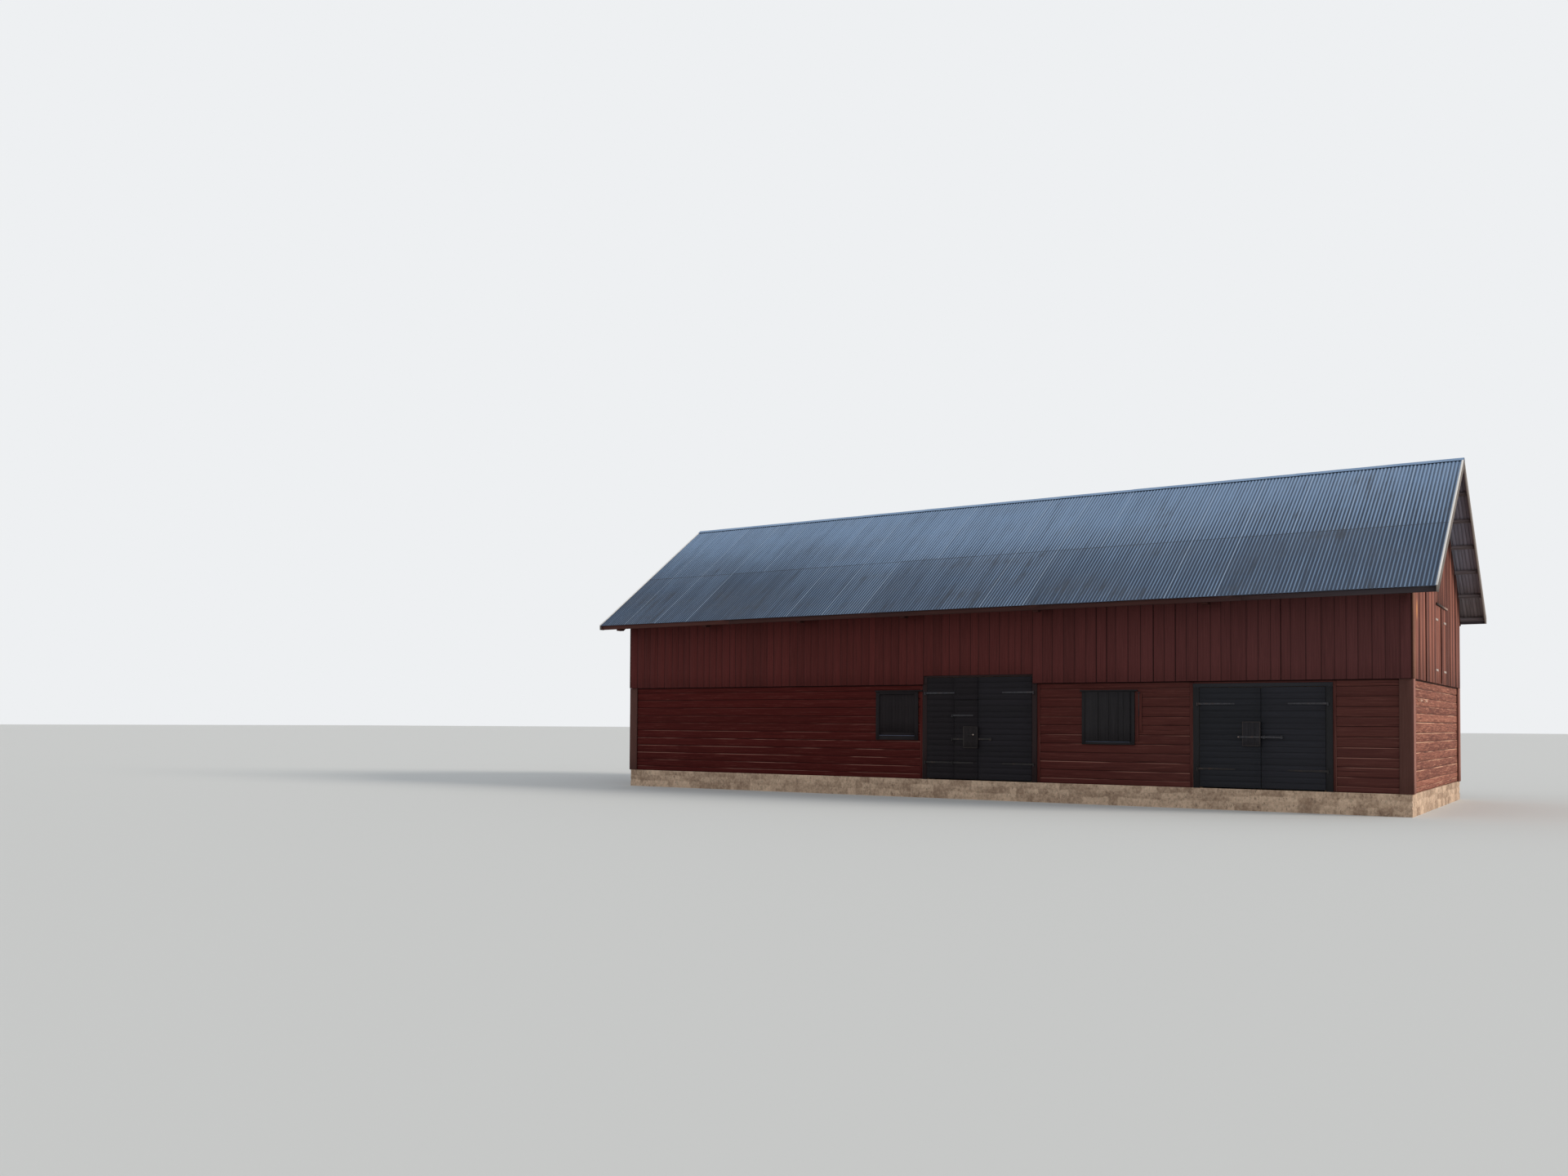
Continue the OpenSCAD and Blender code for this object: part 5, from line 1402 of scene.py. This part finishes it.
# %% Door leaves
MEET_TALL_L, MEET_TALL_R, MEET_LOW_L, MEET_LOW_R = 0.686, 0.698, 7.110, 7.122
WICKET_L, WICKET_TOP, LEAF_GAP = 0.072, 2.346, 0.008
wicket_side, over_wicket = WICKET_L - LEAF_GAP, WICKET_TOP + LEAF_GAP
room = BATTEN_ROOM
LEAVES = (
    # piece, body, node, left edge, right edge, bottom, top, inset of the first and last batten, how many
    ("tall_left_boards", "tall_left_leaf", "tall_door_left", TALL_L + LEAF_GAP, wicket_side,
     LEAF_LOW, TALL_TOP, room, 0.0, 2),
    ("tall_left_head_boards", "tall_left_leaf", "tall_door_left_head", wicket_side, MEET_TALL_L,
     over_wicket, TALL_TOP, None, room, 1),
    ("wicket_boards", "wicket_leaf", "wicket", WICKET_L, MEET_TALL_L,
     LEAF_LOW, WICKET_TOP, BATTEN_T, room, 2),
    ("tall_right_boards", "tall_right_leaf", "tall_door_right", MEET_TALL_R, TALL_R - LEAF_GAP,
     LEAF_LOW, TALL_TOP, room, room, 3),
    ("low_left_boards", "low_left_leaf", "low_door_left", LOW_L + LEAF_GAP, MEET_LOW_L,
     LEAF_LOW, LOW_TOP, room, room, 3),
    ("low_right_boards", "low_right_leaf", "low_door_right", MEET_LOW_R, LOW_R - LEAF_GAP,
     LEAF_LOW, LOW_TOP, room, room, 3))
for name, body, node, x0, x1, low, top, first_in, last_in, count in LEAVES:
    seams, tar = (low_seams, tar_low) if body.startswith("low") else (tall_seams, tar_tall)
    if first_in is None:
        battens = [(x1 - room - BATTEN_W, x1 - room, low, top - room)]
    else:
        battens = spread_battens(x0 + first_in, x1 - last_in, count, low, top)
    make_piece(name, leaf_boards(x0, x1, low, top, seams, battens), tar, body, [node])

# %% [markdown]
# ## Lock plates
#
# A plate of three short upright boards carries each lock, with a thin paler rim round it. Both
# are made by one loop, because they differ only in their place and in the leaf they ride on.

# %% Lock plates
PLATE_W, PLATE_TALL, PLATE_T, RIM_W, RIM_T = 0.365, 0.510, 0.035, 0.014, 0.006
for name, node, body, right_edge, mid_z in (
        ("wicket_lock", "wicket_lock_plate", "wicket_leaf", MEET_TALL_L, PLINTH_TOP + 1.016),
        ("low_lock", "low_door_lock_plate", "low_left_leaf", MEET_LOW_L, PLINTH_TOP + 1.159)):
    left_edge, low, high = right_edge - PLATE_W, mid_z - PLATE_TALL / 2, mid_z + PLATE_TALL / 2
    front = -LEAF_FACE - PLATE_T
    joints = left_edge + PLATE_W * np.array([0.0, 0.35, 0.68, 1.0])
    boards = wall_boxes([(a, b, low, high) for a, b in between(joints)], front + 0.003, -LEAF_FACE)
    plate = [bars(boards, Z, X, arris=0.003, sway=0.0003)]
    make_piece(f"{name}_boards", plate, lock_wood, body, [node])
    inner = (left_edge + RIM_W, right_edge - RIM_W)
    sides = [(left_edge, inner[0], low, high), (inner[1], right_edge, low, high)]
    rails = [(*inner, low, low + RIM_W), (*inner, high - RIM_W, high)]
    rim = [bars(wall_boxes(rows, front, front + RIM_T), run, across, arris=0.002)
           for rows, run, across in ((sides, Z, X), (rails, X, Z))]
    make_piece(f"{name}_rim", rim, lock_rim, body, [node])

# %% [markdown]
# ## Door frames and casings
#
# Jamb posts and the timber over each doorway carry the leaves from behind, and black boards
# case them in front. The tall doorway's casing runs up beside the wall boards to its drip
# board. Every one is a plain box in the frame's axes, so rows of numbers say all there is.

# %% Door frames
STOP_Y = -LEAF_FACE + LEAF_T + 0.005
JAMB_W, JAMB_LAP, INNER_Y = 0.100, 0.030, -LOG_Y + LOG_T
for label, left_x, right_x, top, lintel in (("tall", TALL_L, TALL_R, TALL_TOP, 0.150),
                                            ("low", LOW_L, LOW_R, LOW_TOP, 0.070)):
    head, head_top = top - JAMB_LAP, top - JAMB_LAP + lintel
    outer = (left_x - JAMB_PAST, right_x + JAMB_PAST)
    posts = wall_boxes([(outer[0], outer[0] + JAMB_W, PLINTH_TOP, head_top),
                        (outer[1] - JAMB_W, outer[1], PLINTH_TOP, head_top)], STOP_Y, INNER_Y)
    posts += wall_boxes([(outer[0], left_x, PLINTH_TOP, head_top),
                         (right_x, outer[1], PLINTH_TOP, head_top)], -LOG_Y, STOP_Y + 0.001)
    beam = wall_boxes([(left_x, right_x, head, head_top)], STOP_Y, INNER_Y)
    timber(f"{label}_jamb_timbers", f"{label}_door_frame", bars(posts, Z, X, sway=0.0003),
           bars(beam, X, Z, sway=0.0003))

# %% Door casings
CASING_Y = -(LOG_Y + CORNER_T)
CASING_TOP = TALL_TOP + 0.050
tall_sides = wall_boxes([(TALL_L - CASING_W, TALL_L, PLINTH_TOP, BOARDS_LOW),
                         (TALL_R, TALL_R + CASING_W, PLINTH_TOP, BOARDS_LOW),
                         (DOORWAY_L + FIT, TALL_L, BOARDS_LOW - 0.002, CASING_TOP),
                         (TALL_R, DOORWAY_R - FIT, BOARDS_LOW - 0.002, CASING_TOP)], CASING_Y, -LOG_Y)
tall_head = wall_boxes([(TALL_L, TALL_R, TALL_TOP + LEAF_GAP, CASING_TOP)], -LEAF_FACE, -LOG_Y)
tall_casing = [bars(tall_sides, Z, X, arris=0.002, sway=0.0004, tone=[0.5, 0.6, 0.5, 0.6]),
               bars(tall_head, X, Z, sway=0.0005)]
make_piece("tall_casing_boards", tall_casing, tar_tall_casing, nodes=["tall_door_casing"])

low_head = LOW_TOP + LEAF_GAP
low_outer = (LOW_L - LOW_CASING_W, LOW_R + LOW_CASING_W)
low_sides = wall_boxes([(low_outer[0], LOW_L, PLINTH_TOP, low_head),
                        (LOW_R, low_outer[1], PLINTH_TOP, low_head)], CASING_Y, -LOG_Y)
low_head_board = wall_boxes([(*low_outer, low_head, LOW_TOP + 0.088)], CASING_Y, -LOG_Y)
low_casing = [bars(low_sides, Z, X, sway=0.0006), bars(low_head_board, X, Z, sway=0.0006)]
make_piece("low_casing_boards", low_casing, tar_casing, nodes=["low_door_casing"])

# %% [markdown]
# ## Windows
#
# Each window is cased by four boards and a drip board, with a thin pale sill. The left shutter
# sits back between its casings and stops above the sill; the right one hangs over the face of
# its casing, and its joints stand where the photograph shows them.

# %% Window casings
WINDOW_H, FRAME_T, DRIP_H, DRIP_OUT, SHUTTER_T = 1.214, 0.028, 0.034, 0.012, 0.026
FRAME_FRONT = -LOG_Y - FRAME_T


def window_casing(mid, width, low, board, drip_l, drip_r):
    """Two stiles, two rails and a drip board that reaches past them by drip_l and drip_r."""
    z0, z1 = PLINTH_TOP + low, PLINTH_TOP + low + WINDOW_H
    x0, x1 = mid - width / 2, mid + width / 2
    under = z1 - DRIP_H
    stiles = wall_boxes([(x0, x0 + board, z0, under), (x1 - board, x1, z0, under)], FRAME_FRONT, -LOG_Y)
    rails = wall_boxes([(x0 + board, x1 - board, z0, z0 + board),
                        (x0 + board, x1 - board, z1 - board, under)], FRAME_FRONT, -LOG_Y)
    drip = wall_boxes([(x0 - drip_l, x1 + drip_r, under, z1)], FRAME_FRONT - DRIP_OUT, -LOG_Y)
    return [bars(stiles, Z, X, sway=0.0005), bars(rails + drip, X, Z, sway=0.0005)]


for label, sizes in (("left", (-1.486, 1.172, 0.931, 0.100, 0.020, 0.121)),
                     ("right", (3.836, 1.204, 0.892, 0.090, 0.042, 0.062))):
    make_piece(f"{label}_window_boards", window_casing(*sizes), tar_shutter,
               nodes=[f"{label}_window_casing"])

# %% Sills and shutters
SHUTTER_LOW = 1.571
sills = wall_boxes([(*LEFT_HOLE[:2], 1.480, 1.499)], FRAME_FRONT - 0.008, -LOG_Y - 0.002)
sills += wall_boxes([(3.330, 4.330, 1.391, 1.416)], FRAME_FRONT - 0.010, FRAME_FRONT + 0.002)
make_piece("window_sill_lips", [bars(sills, X, Z, arris=0.003, sway=0.0005)], sill_paint)

left_rows = [(a, b, SHUTTER_LOW, LEFT_HOLE[3]) for a, b in between(np.linspace(*LEFT_HOLE[:2], 12))]
left_boards = wall_boxes(left_rows, -LOG_Y - SHUTTER_T / 2, -LOG_Y + SHUTTER_T / 2)
left_rail = wall_boxes([(*LEFT_HOLE[:2], LEFT_HOLE[2] + 0.002, SHUTTER_LOW + 0.003)],
                       -LOG_Y - 0.004, -LOG_Y + 0.018)
left_shutter = [bars(left_boards, Z, X, profile=GROOVED, **DOOR_WOOD), bars(left_rail, X, Z, arris=0.003)]
make_piece("left_shutter_boards", left_shutter, tar_shutter, nodes=["left_window_shutter"])

right_joints = [RIGHT_HOLE[0], 3.622, 3.867, 4.080, 4.198, 4.333, RIGHT_HOLE[1]]
right_boards = [[(a, FRAME_FRONT - SHUTTER_T + 0.004 * (k % 2), 1.422), (b, FRAME_FRONT, 2.516)]
                for k, (a, b) in enumerate(between(right_joints))]
make_piece("right_shutter_boards", [bars(right_boards, Z, X, **DOOR_WOOD)], tar_shutter,
           nodes=["right_window_shutter"])

# %% [markdown]
# ## Ironwork
#
# The straps, eyes and pins are the frame's own solids: their shapes are right, and they need
# only a forged finish. The upper straps have kept a grey shine, and near the ground the iron has
# gone dark and rusty. The low door's lock bar is painted bright, a painted highlight. On the
# sunny gable the iron is pale, partly pale galvanising and partly painted sunlight. A stay bar
# hangs beside the right window.

# %% Iron finish
UPPER_IRONS = (1.85, 2.06)

iron = Finish("forged_iron")
iron_place = iron.place()
iron_height = iron.axis(iron_place, Z)
scale_noise = iron.noise(iron_place, (22.0, 22.0, 22.0), 5.0, 0.6)
pitting = iron.noise(iron_place, (240.0, 240.0, 240.0), 3.0, 0.6)
mottle = iron.mask(scale_noise, 0.35, 0.7)
dark_iron = iron.mix(mottle, paint(25, 22, 23), paint(42, 38, 37))
bright_iron = iron.mix(mottle, paint(40, 39, 43), paint(67, 66, 71))
# Painted highlight: the low door's lock bar is painted in the bright iron.
lock_bar_highlight = (iron.mask(iron_height, 1.48, 1.50) * iron.mask(iron_height, 1.60, 1.58)
            * iron.mask(iron.axis(iron_place, X), 5.9, 6.1))
kept_bright_and_highlight = iron.mask(iron_height, *UPPER_IRONS) + lock_bar_highlight * 0.9
rust = iron.mask(iron.noise(iron_place, (9.0, 9.0, 9.0), 5.0), 0.54, 0.68)
iron_colour = iron.mix(rust * 0.5, iron.mix(kept_bright_and_highlight, dark_iron, bright_iron), paint(74, 54, 45))
iron.surface(Base_Color=iron_colour, Roughness=iron.rough(scale_noise, 0.5, 0.7), Metallic=0.35,
             Normal=iron.bump(pitting, 0.0006))
dress(iron.material, "hinge_pintles", "tall_door_left_irons", "tall_door_right_irons", "wicket_irons",
      "low_door_left_irons", "low_door_right_irons")

# %% Pale iron and the stay bar
# Painted light: the hay door's irons are pale, partly pale galvanising and partly painted sunlight.
pale_and_highlight_iron = Finish("pale_and_highlight_iron")
pale_noise = pale_and_highlight_iron.noise(pale_and_highlight_iron.place(), (26.0, 26.0, 26.0), 4.0)
pale_colour = pale_and_highlight_iron.mix(pale_and_highlight_iron.mask(pale_noise, 0.35, 0.65), paint(120, 96, 86), paint(206, 188, 176))
pale_and_highlight_iron.surface(Base_Color=pale_colour, Roughness=pale_and_highlight_iron.rough(pale_noise, 0.55, 0.75))
dress(pale_and_highlight_iron.material, "hay_door_irons")

stay = wall_boxes([(4.524, 4.534, 1.970, 2.500)], -LOG_Y - 0.020, -LOG_Y - 0.010)
stay_eye = wall_boxes([(4.500, 4.560, 2.488, 2.500)], -LOG_Y - 0.022, -LOG_Y - 0.006)
make_piece("window_stay_bar", [bars(stay, Z, X, arris=0.002), bars(stay_eye, X, Z, arris=0.002)],
           iron.material)

# %% [markdown]
# ## Rivets
#
# Four rivets hold each strap. A rivet head is a small dome turned round an axis, a few dozen
# faces each, and each leaf's rivets are one piece that rides with it. The same dome serves as
# the boss of the lever and the head of the lock bar's pivot.

# %% Rivets
DOME_FLAT, DOME_SIDES = 0.6, 10


def domes(centres, radius):
    """Domes towards the front: at height h the radius is r sqrt(1 - h^2), h from 0 to almost 1."""
    outward, side, other = np.array([(0.0, -1.0, 0.0), (0.0, 0.0, 1.0), (-1.0, 0.0, 0.0)])
    turn = np.arange(DOME_SIDES) / DOME_SIDES * 2 * np.pi
    height = np.array([-0.2, 0.35, 0.7, 0.95])
    wide = np.sqrt(1 - np.clip(height, 0, 1) ** 2)
    circle = np.cos(turn)[:, None] * side + np.sin(turn)[:, None] * other
    rings = wide[:, None, None] * circle[None] + height[:, None, None] * DOME_FLAT * outward
    centres = np.asarray(centres, float)[:, None, None]
    return [tubes(centres + radius * rings[None], np.full(len(centres), 0.5))]


STRAP_Y, LOWER_STRAP_Z = -LEAF_FACE - 0.007, 0.862
RIVET_R, LEVER_R, PIVOT_R = 0.0085, 0.018, 0.012
RIVET_PLACES = (0.14, 0.40, 0.66, 0.92)
for body, hinge_x, way, upper_z, length in (
        ("tall_left_leaf", -0.700, 1, 2.520, 0.70), ("tall_right_leaf", 2.084, -1, 2.520, 0.78),
        ("low_left_leaf", 5.804, 1, 2.240, 0.78), ("low_right_leaf", 8.428, -1, 2.240, 0.78),
        ("wicket_leaf", 0.022, 1, 1.983, 0.54)):
    centres = [(hinge_x + way * share * length, STRAP_Y, z)
               for z in (upper_z, LOWER_STRAP_Z) for share in RIVET_PLACES]
    make_piece(f"{body}_rivets", domes(centres, RIVET_R), iron.material, body, smooth=0.9)

lever = (MEET_TALL_L - 0.087, -LEAF_FACE - PLATE_T - 0.048, PLINTH_TOP + 1.077)
bar_pivot = (6.667, -LEAF_FACE - PLATE_T - 0.018, PLINTH_TOP + 1.092)
# Painted highlight: the lever's boss and the pivot's head take the pale iron.
for name, body, centre, radius in (("wicket_lever_boss", "wicket_leaf", lever, LEVER_R),
                                   ("low_bar_pivot_head", "low_left_leaf", bar_pivot, PIVOT_R)):
    make_piece(name, domes([centre], radius), pale_and_highlight_iron.material, body, smooth=0.9)

# %% [markdown]
# ## Knobs on the gable
#
# Two glazed knobs stand on the lower gable, made to hold a wire. Each is a turned profile: a
# radius for each place along the axis, carried round it as a lathe does.

# %% Gable knobs
KNOB_SIDES = 24

glaze = Finish("glazed_knob")
glaze_noise = glaze.noise(glaze.place(), (30.0, 30.0, 30.0))
glaze.surface(Base_Color=glaze.mix(glaze_noise, paint(250, 206, 176), paint(255, 224, 198)),
              Roughness=glaze.rough(glaze_noise, 0.2, 0.4))


def turned_knob(y, z):
    """Radius along the axis: a neck, a flare, a waist for the wire and a rounded head."""
    along = np.array([0.0, 0.030, 0.036, 0.040, 0.046, 0.050, 0.054, 0.060, 0.066, 0.069, 0.070])
    radius = np.array([0.016, 0.016, 0.020, 0.027, 0.027, 0.021, 0.021, 0.026, 0.024, 0.017, 0.008])
    turn = np.arange(KNOB_SIDES) / KNOB_SIDES * 2 * np.pi
    rings = np.zeros((1, len(along), KNOB_SIDES, 3))
    rings[..., X] = (LOG_X + along)[None, :, None]
    rings[..., Y] = y + radius[:, None] * np.cos(turn)
    rings[..., Z] = z + radius[:, None] * np.sin(turn)
    return tubes(rings, [0.5])


knobs = [turned_knob(-HALF_W + from_corner, PLINTH_TOP + 1.856) for from_corner in (1.017, 1.726)]
make_piece("gable_wire_knobs", knobs, glaze.material, nodes=["gable_knobs"], smooth=0.8)
